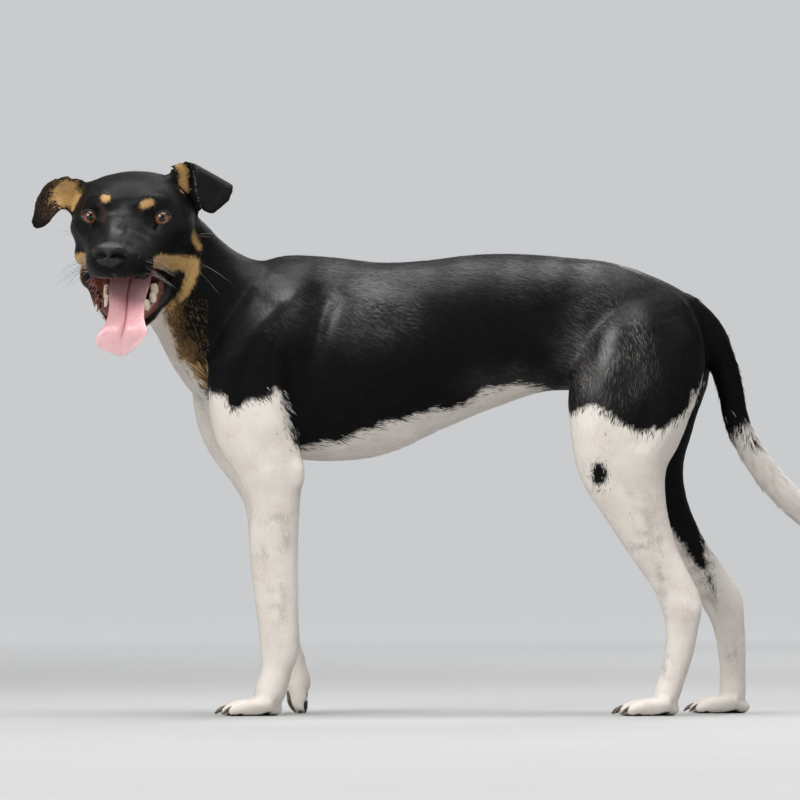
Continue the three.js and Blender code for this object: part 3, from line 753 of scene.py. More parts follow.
@dataclass
class Lines:
    """Points along the middles of all parts.

    They say for any place on the skin what part it is and how the hair lies there.

    Attributes:
        middle, along, up, side: places and frames, one row each.
        girth: mean radius there.
        length: of the part's whole line.
        part: the part of each row.
        share: how far along its part a row lies, 0..1.
        lie: 1 where hair points along the line, -1 where against it.
    """

    middle: Array
    along: Array
    up: Array
    side: Array
    girth: Array
    length: Array
    part: Array
    share: Array
    lie: Array

    @classmethod
    def of(cls, anatomy: Anatomy) -> Lines:
        """Collects the rows of every loft, leaf and foot."""
        rows: list[tuple[Array, ...]] = []

        def add(part: Part, middle: Array, girth: Array, top: Point, lie: float) -> None:
            """Adds the rows of one part."""
            steps = np.linalg.norm(np.diff(middle, axis=0), axis=1)
            gone = np.concatenate([[0], np.cumsum(steps)])
            same = np.ones(len(middle))
            rows.append((middle, *path_frames(middle, top), girth, gone[-1] * same,
                         np.full(len(middle), part), gone / gone[-1], lie * same))

        for part, loft in anatomy.lofts.items():
            table = spline(loft.stations, 4)
            lie = -1.0 if part == Part.NECK else 1.0
            add(part, table[:, :3], table[:, 3:].mean(axis=1), loft.top, lie)
        for part, loft in anatomy.head_lofts.items():
            table = spline(loft.stations, 4)
            middle = anatomy.drawing.from_head(table[:, :3])
            add(part, middle, table[:, 3:].mean(axis=1), anatomy.drawing.head[2], -1.0)
        for part, leaf in anatomy.ears.items():
            middle, _, _, half, _ = leaf.sheet()
            keep = slice(8, None, 2)
            middle = anatomy.drawing.from_head(middle)[keep]
            add(part, middle, half[keep] * 0.8, anatomy.drawing.head[0], 1.0)
        for part, name in PAWS.items():
            foot = FEET[name]
            toes = np.array([(-14.0, 0, 9), (0, 0, 8), (14, 0, 7), (28, 0, 6), (40, 0, 5)])
            toes[2:, 0] *= foot.reach
            add(part, foot.place(toes), np.full(5, 16.0), foot.up, 1.0)
        return cls(*(np.concatenate(columns) for columns in zip(*rows)))

    def nearest(self, points: Array, chunk: int = 16000) -> tuple[Array, Array]:
        """The part and the hair's way at each point.

        The way is the mean of all rows' ways, weighted by exp(-3 d^2), with d in girths.

        Args:
            points: places in the drawing frame.
            chunk: how many are worked out at a time.
        Returns:
            The row that each point lies nearest to, as a share of the row's girth, and the way.
        """
        index = np.empty(len(points), int)
        flow = np.empty((len(points), 3))
        heading = self.along * self.lie[:, None]
        for start in range(0, len(points), chunk):
            some = points[start:start + chunk]
            gap = (some**2).sum(-1)[:, None] + (self.middle**2).sum(-1) - 2 * some @ self.middle.T
            gap /= self.girth**2
            index[start:start + chunk] = gap.argmin(axis=1)
            weight = np.exp(-3 * (gap - gap.min(axis=1, keepdims=True)))
            flow[start:start + chunk] = weight @ heading
        return index, unit(flow)

    def local(self, points: Array, row: Array) -> tuple[Array, Array, Array]:
        """How far points lie up, to the side and along from the rows that they belong to."""
        away = points - self.middle[row]
        high, wide = (away * self.up[row]).sum(-1), (away * self.side[row]).sum(-1)
        return high, wide, (away * self.along[row]).sum(-1)


# -----------------------------------------------------------------------------
# The skin
# -----------------------------------------------------------------------------


@dataclass(frozen=True)
class Lens:
    """Room around a place that is magnified before an even remesh, for a finer mesh there.

    A distance r from the place becomes r (1 + (power - 1) exp(-r^2 / size^2)).

    Attributes:
        at: the place.
        power: the factor in its middle.
        size: how far it reaches, in millimetres.
    """

    at: Array
    power: float
    size: float

    def scale(self, distance: Array) -> Array:
        """The factor at a distance."""
        return 1 + (self.power - 1) * np.exp(-((distance / self.size) ** 2))

    def grow(self, points: Array) -> Array:
        """Points moved away from the place."""
        away = points - self.at
        distance = np.linalg.norm(away, axis=-1, keepdims=True)
        return self.at + away * self.scale(distance)

    def shrink(self, points: Array) -> Array:
        """The inverse of ``grow``, by halving the bracket of the distance forty times."""
        away = points - self.at
        target = np.linalg.norm(away, axis=-1, keepdims=True)
        low, high = np.zeros_like(target), target.copy()
        for _ in range(40):
            middle = (low + high) / 2
            over = middle * self.scale(middle) > target
            high = np.where(over, middle, high)
            low = np.where(over, low, middle)
        return self.at + away * (high / np.maximum(target, 1e-9))


def evaluated(made: Object) -> Mesh:
    """The mesh of an object after its modifiers."""
    graph = bpy.context.evaluated_depsgraph_get()
    return bpy.data.meshes.new_from_object(made.evaluated_get(graph))


def points_of(mesh: Mesh) -> Array:
    """The vertices of a mesh as an array."""
    flat = np.empty(len(mesh.vertices) * 3, np.float32)
    mesh.vertices.foreach_get("co", flat)
    return flat.reshape(-1, 3).astype(float)


def corners_of(mesh: Mesh) -> Array:
    """The vertex number of each face corner of a mesh."""
    corners = np.empty(len(mesh.loops), np.int32)
    mesh.loops.foreach_get("vertex_index", corners)
    return corners


def hollowed(outer: Shell, hollow: Shell) -> Shell:
    """One closed shell less another, by a Boolean modifier."""
    body = linked("outer", mesh_of("outer", outer.points, outer.faces))
    tool = linked("hollow", mesh_of("hollow", hollow.points, hollow.faces))
    cut = body.modifiers.new("cut", "BOOLEAN")
    cut.operation = "DIFFERENCE"
    cut.solver = "EXACT"
    cut.object = tool
    mesh = evaluated(body)
    mesh.calc_loop_triangles()
    corners = np.empty(len(mesh.loop_triangles) * 3, np.int32)
    mesh.loop_triangles.foreach_get("vertices", corners)
    shell = Shell(points_of(mesh), [corners.reshape(-1, 3)])
    for made in (body, tool):
        bpy.data.objects.remove(made)
    return shell


@dataclass(frozen=True)
class LegRelief:
    """A muscle or tendon that shows on both legs of a pair: a ridge, or a groove where height is negative.

    Attributes:
        pair: the two legs.
        path: rows of level down the leg's table, distance forward and distance outward of its middle line.
        width, height: of the ridge, in millimetres.
    """

    pair: tuple[Part, Part]
    path: tuple[Point, ...]
    width: float
    height: float

    def lift(self, points: Array) -> Array:
        """How far the points of the skin rise."""
        total = np.zeros(len(points))
        rows = np.array(self.path)
        for leg in self.pair:
            line, _, side = LEG_LINES[leg]
            middle = spline(mirrored(line, side), 8)
            level = rows[:, 0] * 8
            at = [np.interp(level, np.arange(len(middle)), column) for column in middle.T]
            out = np.stack([-rows[:, 1], side * rows[:, 2], 0 * level], -1)
            total += ridge(points, np.stack(at, -1) + out, self.width, self.height)
        return total


# Shoulder, upper arm, elbow, tendons and wrist of the forelegs, then thigh, knee, calf and hock.
LEG_RELIEFS = (
    LegRelief(FORELEGS, ((0.3, -14, 26), (1.2, 0, 26), (2.0, 18, 24)), 9, 2.0),
    LegRelief(FORELEGS, ((1.0, -30, 24), (2.0, -30, 26), (3.0, -26, 24)), 16, 3.0),
    LegRelief(FORELEGS, ((2.2, 6, 26), (3.0, 8, 24), (3.8, 2, 24)), 7, -1.6),
    LegRelief(FORELEGS, ((0.8, -52, 18), (2.0, -54, 18), (3.2, -48, 18)), 10, -4.0),
    LegRelief(FORELEGS, ((4.0, -32, 10), (4.3, -30, 10)), 8, 4.6),
    LegRelief(FORELEGS, ((4.6, 4, 20), (6.0, 2, 19), (7.0, 0, 16)), 6, -1.0),
    LegRelief(FORELEGS, ((7.9, 14, 0), (8.3, 13, 0)), 8, 1.2),
    LegRelief(FORELEGS, ((8.4, -16, 3), (8.6, -16, 3)), 6, 2.0),
    LegRelief(HINDLEGS, ((0.6, 10, 34), (1.2, 16, 34)), 18, 3.0),
    LegRelief(HINDLEGS, ((1.5, -8, 32), (2.6, -14, 32), (3.6, -14, 28)), 9, -2.2),
    LegRelief(HINDLEGS, ((1.6, -46, 20), (2.8, -40, 22), (3.8, -28, 20)), 16, 2.6),
    LegRelief(HINDLEGS, ((3.4, 36, 14), (3.9, 34, 12)), 12, 2.6),
    LegRelief(HINDLEGS, ((4.8, 12, 19), (6.0, 8, 16), (7.0, 6, 12)), 7, 1.2),
    LegRelief(HINDLEGS, ((5.8, -12, 13), (6.8, -8, 12), (7.8, -10, 11)), 6, -2.6),
    LegRelief(HINDLEGS, ((8.0, -2, 13), (8.4, 0, 13)), 6, 1.4),
)


@dataclass(frozen=True)
class Relief:
    """A swelling or hollow of the body or the face.

    Attributes:
        path: rows of x, y and z.
        width, height: of the ridge along it, or of a groove where height is negative.
        both: whether the other side has it too.
    """

    path: tuple[Point, ...]
    width: float
    height: float
    both: bool = True

    def lift(self, points: Array, middle: float = 0.0) -> Array:
        """How far points rise, where the plane between both sides lies at y = ``middle``."""
        total = np.zeros(len(points))
        for side in (1, -1) if self.both else (1,):
            path = mirrored(self.path, side) + (0, middle, 0)
            total += ridge(points, path, self.width, self.height)
        return total


# The groove behind the shoulder, the blade's ridge, the flank's hollow, the neck's groove and muscle, the
# breast's groove and the hip bone.
BODY_RELIEFS = (
    Relief(((-86, 62, 420), (-84, 70, 350), (-82, 62, 285)), 12, -3.4),
    Relief(((-98, 40, 448), (-112, 56, 400), (-140, 62, 352)), 13, 2.6),
    Relief(((150, 55, 400), (175, 53, 360), (185, 50, 335)), 20, -5.0),
    Relief(((-205, 46, 405), (-180, 50, 375), (-160, 54, 350)), 9, -3.0),
    Relief(((-190, 30, 460), (-150, 45, 430), (-120, 58, 400)), 16, 2.6),
    Relief(((-199, 32, 340), (-184, 32, 290), (-160, 30, 242)), 4.5, -4.5),
    Relief(((200, 22, 447), (222, 26, 443)), 12, 2.4),
)
FACE_RELIEFS = (
    # furrow of the forehead and the stop
    Relief(((34, 0, -12), (10, 0, -2), (-25, 0, 32)), 5, -2.0, False),
    # brows, the crease over the lid and the bag under it
    Relief(((4, 13, 16), (3, 23, 21), (-4, 38, 19)), 7, 3.2),
    Relief(((7, 26, 10.5), (5, 36, 12.5), (-3, 46, 9)), 2.2, -1.1),
    Relief(((6, 25, -10), (2, 35, -14), (-5, 46, -11)), 3.0, 1.2),
    Relief(((8, 23, -15), (1, 36, -20), (-8, 48, -17)), 2.8, -1.2),
    # bridge of the nose, its squared edges and the hollows at its sides
    Relief(((16, 10, -7), (42, 8.5, -14), (66, 8, -16)), 5, 1.6),
    Relief(((14, 22, -9), (26, 21, -22), (42, 21, -30)), 8, -3.6),
    # wrinkles across the bridge
    Relief(((27, 3, -10), (25, 12, -10), (20, 19, -14)), 1.7, -0.9),
    Relief(((35, 3, -13), (33, 12, -13), (27, 20, -19)), 1.7, -0.9),
    # cheekbone, the hollow under it and the chewing muscle at the jaw's angle
    Relief(((-6, 47, -10), (-28, 59, -15), (-54, 60, -18)), 9, 2.8),
    Relief(((-8, 48, -27), (-34, 58, -33)), 8, -1.8),
    Relief(((-26, 50, -44), (-42, 54, -52), (-36, 50, -68)), 13, 6.5),
    Relief(((-30, 36, 30), (-60, 36, 34)), 10, 1.5),
    # whisker pads, the groove behind them, and the rolled edges of both lips
    Relief(((68, 9, -38), (56, 15, -43), (42, 20, -47)), 7, 2.0),
    Relief(((40, 30, -40), (30, 33, -52)), 9, -2.4),
    Relief(((70, 5, -45), (60, 14, -49), (46, 24, -53), (20, 35, -52), (-2, 43, -51)), 2.8, 1.2),
    Relief(((-12, 51, -67), (-4, 45, -77), (10, 38, -86), (28, 30, -95), (40, 24, -99)), 3.6, 1.6),
    Relief(((76, -1.6, -37), (73, -1.2, -46)), 1.6, -1.8, False),
)


@dataclass(frozen=True)
class Eye:
    """One eye in the head's frame: the ball, the way that it looks, and its almond opening.

    Attributes:
        at: middle of the ball.
        gaze: the way that it looks.
        inward: 1 if the nose lies to its left (head's +y), -1 if to its right.
        half_width, half_height: of the opening.
        lid_radius: of the ball that the lids lie on.
    """

    at: Point
    gaze: Point
    inward: float
    half_width: float = 9.1
    half_height: float = 7.0
    lid_radius: float = 11.0

    def axes(self) -> Array:
        """Rows: gaze, across towards the nose, and up."""
        gaze = unit(np.array(self.gaze))
        across = unit(np.cross(gaze, np.array([0.0, 0.0, 1.0])))
        across = across * np.sign(across[1]) * self.inward
        up = np.cross(gaze, across)
        return np.stack([gaze, across, up * np.sign(up[2])])

    def almond(self, count: int) -> Array:
        """The opening's outline, rows of (across, up), anticlockwise from the inner corner.

        An ellipse whose height is full in the middle and thins to its two corners. The inner corner is
        drawn out and lower.
        """
        angle = np.linspace(0, 2 * np.pi, count, endpoint=False)
        x, y = np.cos(angle), np.sin(angle)
        across = self.half_width * (x + 0.2 * np.maximum(x, 0) ** 4)
        high = np.where(y > 0, self.half_height, 0.86 * self.half_height)
        thin = 1 - 0.24 * np.abs(x) ** 3
        return np.stack([across, y * high * thin - 1.3 * x], -1)

    def opening(self, points: Array) -> Array:
        """How far inside (positive) or outside the opening's cone each head-frame point lies."""
        local = (points - np.array(self.at)) @ self.axes().T
        ahead = np.maximum(local[:, 0], 0.1)
        seen = local[:, 1:] / np.linalg.norm(local, axis=1, keepdims=True) * EYE_RADIUS
        inside = inside_outline(seen, self.almond(40))
        return np.where(local[:, 0] > 0, inside, -9.0) * np.minimum(ahead, 1.0)


EYES = {
    "eye_left": Eye((EYE_DEPTH - 1.4, EYE_SPREAD, 0.0), (0.972, 0.165, 0.13), -1),
    "eye_right": Eye((EYE_DEPTH - 1.4, -EYE_SPREAD, 0.0), (0.972, 0.145, 0.15), 1),
}


@dataclass(frozen=True)
class HairKind:
    """The coat of one body part, in millimetres.

    Attributes:
        length, width: of a tuft.
        lift: how far its tip stands off the skin.
        cover: how many times the tufts' area covers the skin.
        depth: how far the skin lies under the outline.
    """

    length: float
    width: float
    lift: float
    cover: float
    depth: float


LEG_HAIR = HairKind(5.0, 0.5, 0.1, 0.5, 0.9)
PAW_HAIR = HairKind(3.0, 0.5, 0.08, 0.6, 0.6)
EAR_HAIR = HairKind(2.6, 0.45, 0.06, 1.1, 0.1)
FACE_HAIR = HairKind(3.8, 0.5, 0.16, 1.05, 0.9)
HAIR = {
    Part.TRUNK: HairKind(10.5, 0.55, 0.22, 1.05, 1.5),
    Part.NECK: HairKind(11.0, 0.6, 0.3, 1.2, 1.5),
    Part.TAIL: HairKind(15.0, 0.7, 1.2, 2.6, 3.0),
    Part.HEAD: FACE_HAIR,
    Part.JAW: FACE_HAIR,
    Part.EAR_LEFT: EAR_HAIR,
    Part.EAR_RIGHT: EAR_HAIR,
    **{leg: LEG_HAIR for leg in FORELEGS + HINDLEGS},
    **{paw: PAW_HAIR for paw in PAWS},
}


def per_part(parts: Array, name: str) -> Array:
    """The hair kinds' number of this name for an array of parts."""
    table = np.array([getattr(HAIR[Part(k)], name) for k in range(len(Part))])
    return table[parts]


def in_quads(corners: Array, share: Array) -> Array:
    """Places in quads, blended from their corners.

    Args:
        corners: what is blended, as (quads, 4, k).
        share: how far across its quad each place lies, as (quads, 2).
    Returns:
        Rows of k numbers.
    """
    a, b = share[:, :1], share[:, 1:]
    low = corners[:, 0] * (1 - a) + corners[:, 1] * a
    return low * (1 - b) + (corners[:, 3] * (1 - a) + corners[:, 2] * a) * b


@dataclass
class Skin:
    """The one skin of the whole body, in drawing millimetres.

    Attributes:
        anatomy, lines: what it is made from.
        voxel: edge of the remesh, where nothing is magnified.
        points, quads: the mesh.
        row: the row of the lines that each point belongs to.
        flow: the hair's way at each point.
    """

    anatomy: Anatomy
    lines: Lines
    voxel: float = 3.6
    points: Array = field(init=False)
    quads: Array = field(init=False)
    row: Array = field(init=False)
    flow: Array = field(init=False)

    def lenses(self) -> list[Lens]:
        """Finer mesh on the face, the ears and the feet.

        Each lens stands where those before it moved its place.
        """
        places = ((10, 0, -30), (-40, 74, 24), (-34, -72, 10))
        face, *ears = [self.anatomy.drawing.from_head(place) for place in places]
        wanted = [(face, 1.8, 130.0), (face, 1.65, 62.0)]
        wanted += [(ear, 2.3, 46.0) for ear in ears]
        for foot in FEET.values():
            wanted.append((foot.place(np.array([14.0 * foot.reach, 0, 8])), 1.7, 36.0))
        found: list[Lens] = []
        for at, power, size in wanted:
            for lens in found:
                at = lens.grow(at)
            found.append(Lens(at, power, size))
        return found

    def melt(self) -> None:
        """Joins all parts by an even remesh in magnified room."""
        heads = self.anatomy.head_lofts
        shells = self.anatomy.body_shells()
        for part, hollow in ((Part.HEAD, PALATE), (Part.JAW, MOUTH_FLOOR)):
            flesh = hollowed(heads[part].shell(), Loft(hollow, (0, 0, 1), 40, 2.2).shell())
            shells.append(self.anatomy.in_drawing(flesh))
        whole = join_shells(shells)
        lenses = self.lenses()
        points = whole.points
        for lens in lenses:
            points = lens.grow(points)
        body = linked("flesh", mesh_of("flesh", points, whole.faces))
        melt = body.modifiers.new("melt", "REMESH")
        melt.mode = "VOXEL"
        melt.voxel_size = self.voxel
        mesh = evaluated(body)
        points = points_of(mesh)
        for lens in reversed(lenses):
            points = lens.shrink(points)
        self.points, self.quads = points, corners_of(mesh).reshape(-1, 4)
        bpy.data.objects.remove(body)

    def normals(self) -> Array:
        """Vertex normals: the sum of the cross products of the quads' diagonals."""
        a, b, c, d = (self.points[self.quads[:, k]] for k in range(4))
        face = np.cross(c - a, d - b)
        owner = self.quads.ravel()
        total = [np.bincount(owner, np.repeat(face[:, k], 4), len(self.points)) for k in range(3)]
        return unit(np.stack(total, -1))

    def smoothed(self, values: Array, share: Array | float, rounds: int) -> Array:
        """Values moved towards the mean of their four or so neighbours.

        Args:
            values: rows of numbers for the points, or one number for each.
            share: how far they move in a round; negative moves them away.
            rounds: how often.
        Returns:
            The new values.
        """
        start = self.quads.ravel()
        end = np.roll(self.quads, -1, axis=1).ravel()
        count = np.bincount(start, minlength=len(self.points)).astype(float)
        share = np.broadcast_to(share, len(self.points))[:, None]
        flat = values.reshape(len(values), -1)
        for _ in range(rounds):
            total = [np.bincount(start, column[end], len(flat)) for column in flat.T]
            flat = flat + share * (np.stack(total, -1) / count[:, None] - flat)
        return flat.reshape(values.shape)

    def classify(self) -> None:
        """Finds each point's nearest row of the middle lines, and the hair's way there."""
        self.row, self.flow = self.lines.nearest(self.points)

    def parts(self) -> Array:
        """The body part of each point."""
        return self.lines.part[self.row]

    def in_head(self) -> Array:
        """The points in the head's frame."""
        return self.anatomy.drawing.into_head(self.points)

    def relax(self, share: Array, rounds: int) -> None:
        """Smooths; each round is followed by one that swells by a little more, so that nothing shrinks."""
        for _ in range(rounds):
            self.points = self.smoothed(self.points, 0.6 * share, 1)
            self.points = self.smoothed(self.points, -0.62 * share, 1)

    def soften(self) -> None:
        """Melts the creases where parts meet: much on the body and the ears, little on face and feet."""
        head = self.in_head()
        body = np.where(np.isin(self.parts(), FACE + EARS), 0.0, blend(-95, -150, head[:, 0]))
        share = self.smoothed(body * blend(70, 200, self.points[:, 2]), 1.0, 12)
        self.relax(share, 26)
        self.points = self.smoothed(self.points, 0.5 * share, 6)
        self.points = self.smoothed(self.points, 0.35, 2)
        ears = blend(36, 45, np.abs(head[:, 1])) * blend(-30, -18, head[:, 2])
        ears = ears * blend(-110, -90, head[:, 0])
        self.points = self.smoothed(self.points, 0.5 * ears, 5)
        self.relax(ears, 45)

    def sculpt(self) -> None:
        """Sinks the skin by the coat's depth, then raises muscles, tendons and the forms of the face."""
        lift = -self.smoothed(per_part(self.parts(), "depth"), 1.0, 6)
        for relief in BODY_RELIEFS + LEG_RELIEFS:
            lift += relief.lift(self.points)
        head = self.in_head()
        for relief in FACE_RELIEFS:
            lift += relief.lift(head)
        self.points = self.points + self.normals() * lift[:, None]

    def set_eyes(self) -> None:
        """Wraps the lids round the eyeballs and clears their openings.

        Outside the opening a point keeps about the lids' radius R from the ball's middle, which fades
        out towards the side of the ball: the soft maximum k log(exp(r/k) + exp(R/k)). Inside the opening
        it sinks under the ball.
        """
        soft, sunk = 1.8, EYE_RADIUS - 2.2
        head = self.in_head()
        for eye in EYES.values():
            away = head - np.array(eye.at)
            distance = np.linalg.norm(away, axis=1)
            near = distance < 2.2 * EYE_RADIUS
            local = away[near] @ eye.axes().T
            r = np.maximum(distance[near], 1e-6)
            angle = np.degrees(np.arccos(np.clip(local[:, 0] / r, -1, 1)))
            lids = eye.lid_radius * blend(135, 95, angle)
            kept = soft * np.logaddexp(r / soft, lids / soft)
            sink = blend(-0.3, 0.9, eye.opening(head[near]))
            radius = kept * (1 - sink) + np.minimum(sunk, kept) * sink
            head[near] = np.array(eye.at) + away[near] * (radius / r)[:, None]
        self.points = self.anatomy.drawing.from_head(head)

    def flatten_soles(self) -> None:
        """Keeps every point at or above the level of the cut soles."""
        self.points[:, 2] = np.maximum(self.points[:, 2], SOLE + 0.15)

    def unwrapped(self, corners: Array, wanted: tuple[Part, ...],
                  share: Array | None = None) -> Array:
        """Places on the unwrap: each part is rolled out in a cell of its own, angle across, length up.

        Args:
            corners: vertex indices, four for each quad.
            wanted: the parts that share the unit square.
            share: how far across its quad each place lies, or none for all four corners.
        Returns:
            Rows of (u, v), or (4, 2) for each quad where no share is given.
        """
        lines, row = self.lines, self.row[corners[:, 0]]
        high, wide, ahead = lines.local(self.points[corners], row[:, None])
        angle = np.arctan2(wide, high) / (2 * np.pi)
        angle = angle[:, :1] + (angle - angle[:, :1] + 0.5) % 1.0 - 0.5
        along = lines.share[row][:, None] + ahead / lines.length[row][:, None]
        margin = 0.08
        cells = math.ceil(math.sqrt(len(wanted)))
        cell = np.searchsorted(np.array(wanted), lines.part[row])
        left, low = (cell % cells)[:, None], (cell // cells)[:, None]
        u = (left + margin + (1 - 2 * margin) * (angle + 0.5)) / cells
        v = (low + margin + (1 - 2 * margin) * np.clip(along, -margin, 1 + margin)) / cells
        uv = np.clip(np.stack([u, v], -1), 0.002, 0.998)
        return uv if share is None else in_quads(uv, share)

    def make(self) -> None:
        """Runs all steps in order."""
        self.melt()
        log.info("flesh melted: %d points, %d quads", len(self.points), len(self.quads))
        self.classify()
        self.soften()
        self.sculpt()
        self.set_eyes()
        self.flatten_soles()
        self.classify()


# -----------------------------------------------------------------------------
# Markings
# -----------------------------------------------------------------------------

# The edge of the white from the throat down the chest, along the belly and over the thigh: x and
# height, as seen from the side. Below it the coat is white.
WHITE_EDGE = [
    (-233, 400), (-231, 377), (-222, 360), (-214, 340), (-200, 330), (-195, 316), (-183, 319), (-162, 302),
    (-145, 309), (-130, 317), (-122, 324), (-115, 302), (-104, 262), (-88, 268), (-55, 271), (-35, 281),
    (-14, 290), (11, 297), (41, 301), (75, 311), (82, 321), (110, 327), (133, 323), (148, 315), (170, 298),
    (192, 309), (210, 294), (226, 285), (243, 277), (258, 283), (282, 297), (290, 312), (304, 337),
]
WHITE_BELOW = [(420, 337), (420, -60), (-320, -60), (-320, 400)]
TAIL_WHITE = 284.0
THIGH_SPOT = (197.0, 237.5, 8.0, 11.5)
# The black at the back and inside of the right thigh: x and height.
DARK_THIGH = [
    (312, 345), (262, 262), (256, 225), (262, 196), (280, 170), (300, 142), (314, 114), (322, 116),
    (312, 154), (302, 190), (300, 225), (304, 262), (320, 300),
]
# Soft grey ticking: the leg, x and height of its middle, its half sizes, and the share of grey.
TICKS = (
    (Part.HINDLEG_LEFT, 245, 192, 12, 24, 0.40), (Part.HINDLEG_LEFT, 236, 166, 15, 10, 0.30),
    (Part.HINDLEG_LEFT, 228, 222, 7, 7, 0.35), (Part.HINDLEG_LEFT, 258, 130, 8, 26, 0.35),
    (Part.HINDLEG_LEFT, 265, 46, 6, 13, 0.50), (Part.HINDLEG_RIGHT, 312, 110, 10, 13, 0.45),
    (Part.HINDLEG_RIGHT, 298, 158, 16, 34, 0.60),
    (Part.HINDLEG_RIGHT, 333, 58, 6, 13, 0.50), (Part.FORELEG_LEFT, -122, 194, 16, 9, 0.35),
    (Part.FORELEG_LEFT, -134, 160, 12, 9, 0.30), (Part.FORELEG_LEFT, -120, 108, 9, 24, 0.40),
    (Part.FORELEG_LEFT, -113, 172, 5, 9, 0.45), (Part.FORELEG_RIGHT, -124, 180, 14, 16, 0.35),
    (Part.FORELEG_RIGHT, -120, 105, 9, 22, 0.40),
)
# The face's marks lie on its front plan: the head's left and up, slid by this much for each
# millimetre forward.
PLAN_SLANT = (0.188, 0.1675)
TAN_BAND = [
    (27, -39), (34, -35), (64, -36), (73, -38), (73, -48), (68, -62), (60, -76), (49, -86), (36, -94),
    (38, -87), (48, -79), (54, -69), (58, -59), (58, -50), (34, -53), (26, -53),
]
CHEEK_SPOT = ([(66.5, -13.5), (69.5, -20.5), (72.5, -26.5)], 3.4)
BROW_SPOTS = (([(18, 13.2), (21, 14.7), (24.5, 15.6)], 3.7), ([(-20.6, 19.3), (-18.4, 19.4)], 3.6))
MUZZLE_TINGE = ([(8.3, -27.2), (12.2, -35.2), (10.0, -43.2)], 5.0)
EAR_LEFT_GOLD = ([(55, 53), (59, 49), (58.5, 36), (60, 30)], 4.2)
EAR_RIGHT_GOLD = [
    (-71, 28), (-65, 36), (-55, 39), (-48, 33), (-42, 18), (-42, 2), (-47, 2), (-54, 9), (-64, 13),
    (-73, 17),
]
CHEEK_FOLD = [(47, -58.5), (42, -64), (34, -72.5)]
# The pale front edge of the left ear's fold, and the glossy bridge of the muzzle, on the front plan.
EAR_EDGE = [(66, 57), (68.5, 50), (71, 28), (79, 5)]
BRIDGE = [(-6, 2), (-10, -8), (-8, -15)]
SORE = ([(-25, 13.3), (-21.2, 6.4), (-22.4, -1.6)], 4.5)
MOUTH_OUTLINE = [
    (-35, -61), (-26, -58.5), (-15, -57.5), (9, -60), (22, -61), (29, -55), (44, -51), (58, -50.5),
    (58, -59), (52, -72), (40, -86), (24, -103), (11, -110), (-5, -110), (-17, -102), (-27, -88), (-35, -72),
]
UPPER_LIP_LEFT = [
    (70, -1.1, -44.9), (66, 8.1, -47.4), (58, 18.5, -50.5), (45, 29, -53.5), (20, 35.5, -52.6),
    (-2, 43.6, -51), (-18, 53.8, -53.5),
]
UPPER_LIP_RIGHT = [
    (70, -1.1, -44.9), (62, -12, -48), (48, -19.2, -51.7), (30, -28.8, -57), (8, -36, -59), (-14, -47, -60),
]
LOWER_LIP_LEFT = [
    (-18, 54.8, -56.5), (-12, 51.6, -67.6), (-4, 44.9, -77.4), (10, 38.2, -86.1), (28, 30.2, -95.2),
    (40, 24, -99), (47, 14, -101), (49, 6.5, -102),
]
LOWER_LIP_RIGHT = [
    (-14, -46, -61), (-5, -36.5, -68.6), (12, -28.5, -79.8), (26, -18.4, -90.6), (40, -8, -98),
    (47, 0, -101), (49, 6.5, -102),
]
LIPS = (UPPER_LIP_LEFT, UPPER_LIP_RIGHT, LOWER_LIP_LEFT, LOWER_LIP_RIGHT)
# The middle of the right ear's open side.
EAR_HOLLOW = [(-37, -66, 20), (-30, -80, 15), (-24, -89, 0)]
# Where the black coat is glossiest, on both sides: x, height, half width, half height and share. The
# # painted sheen of silvery hairs follows it too.
GLOSS = (
    (-38, 402, 50, 36, 0.9), (-118, 412, 28, 34, 0.5), (192, 358, 36, 62, 0.85),
    (232, 370, 17, 30, 0.9), (222, 340, 30, 26, 0.6), (108, 326, 44, 22, 0.4),
    (-10, 445, 130, 30, 0.45), (140, 442, 90, 28, 0.5),
)


@dataclass(frozen=True)
class Marks:
    """What the coat looks like at places on it.

    Attributes:
        white, tan: signed distances into the white and the tan, in millimetres.
        grey, flush, painted_sheen_and_frost, gloss: shares of grey hairs, reddish skin, silvery hairs and
        gloss; the silver is a painted sheen where the coat is glossy, and pale hair on the lip and an ear's
        edge.
    """

    white: Array
    tan: Array
    grey: Array
    flush: Array
    painted_sheen_and_frost: Array
    gloss: Array


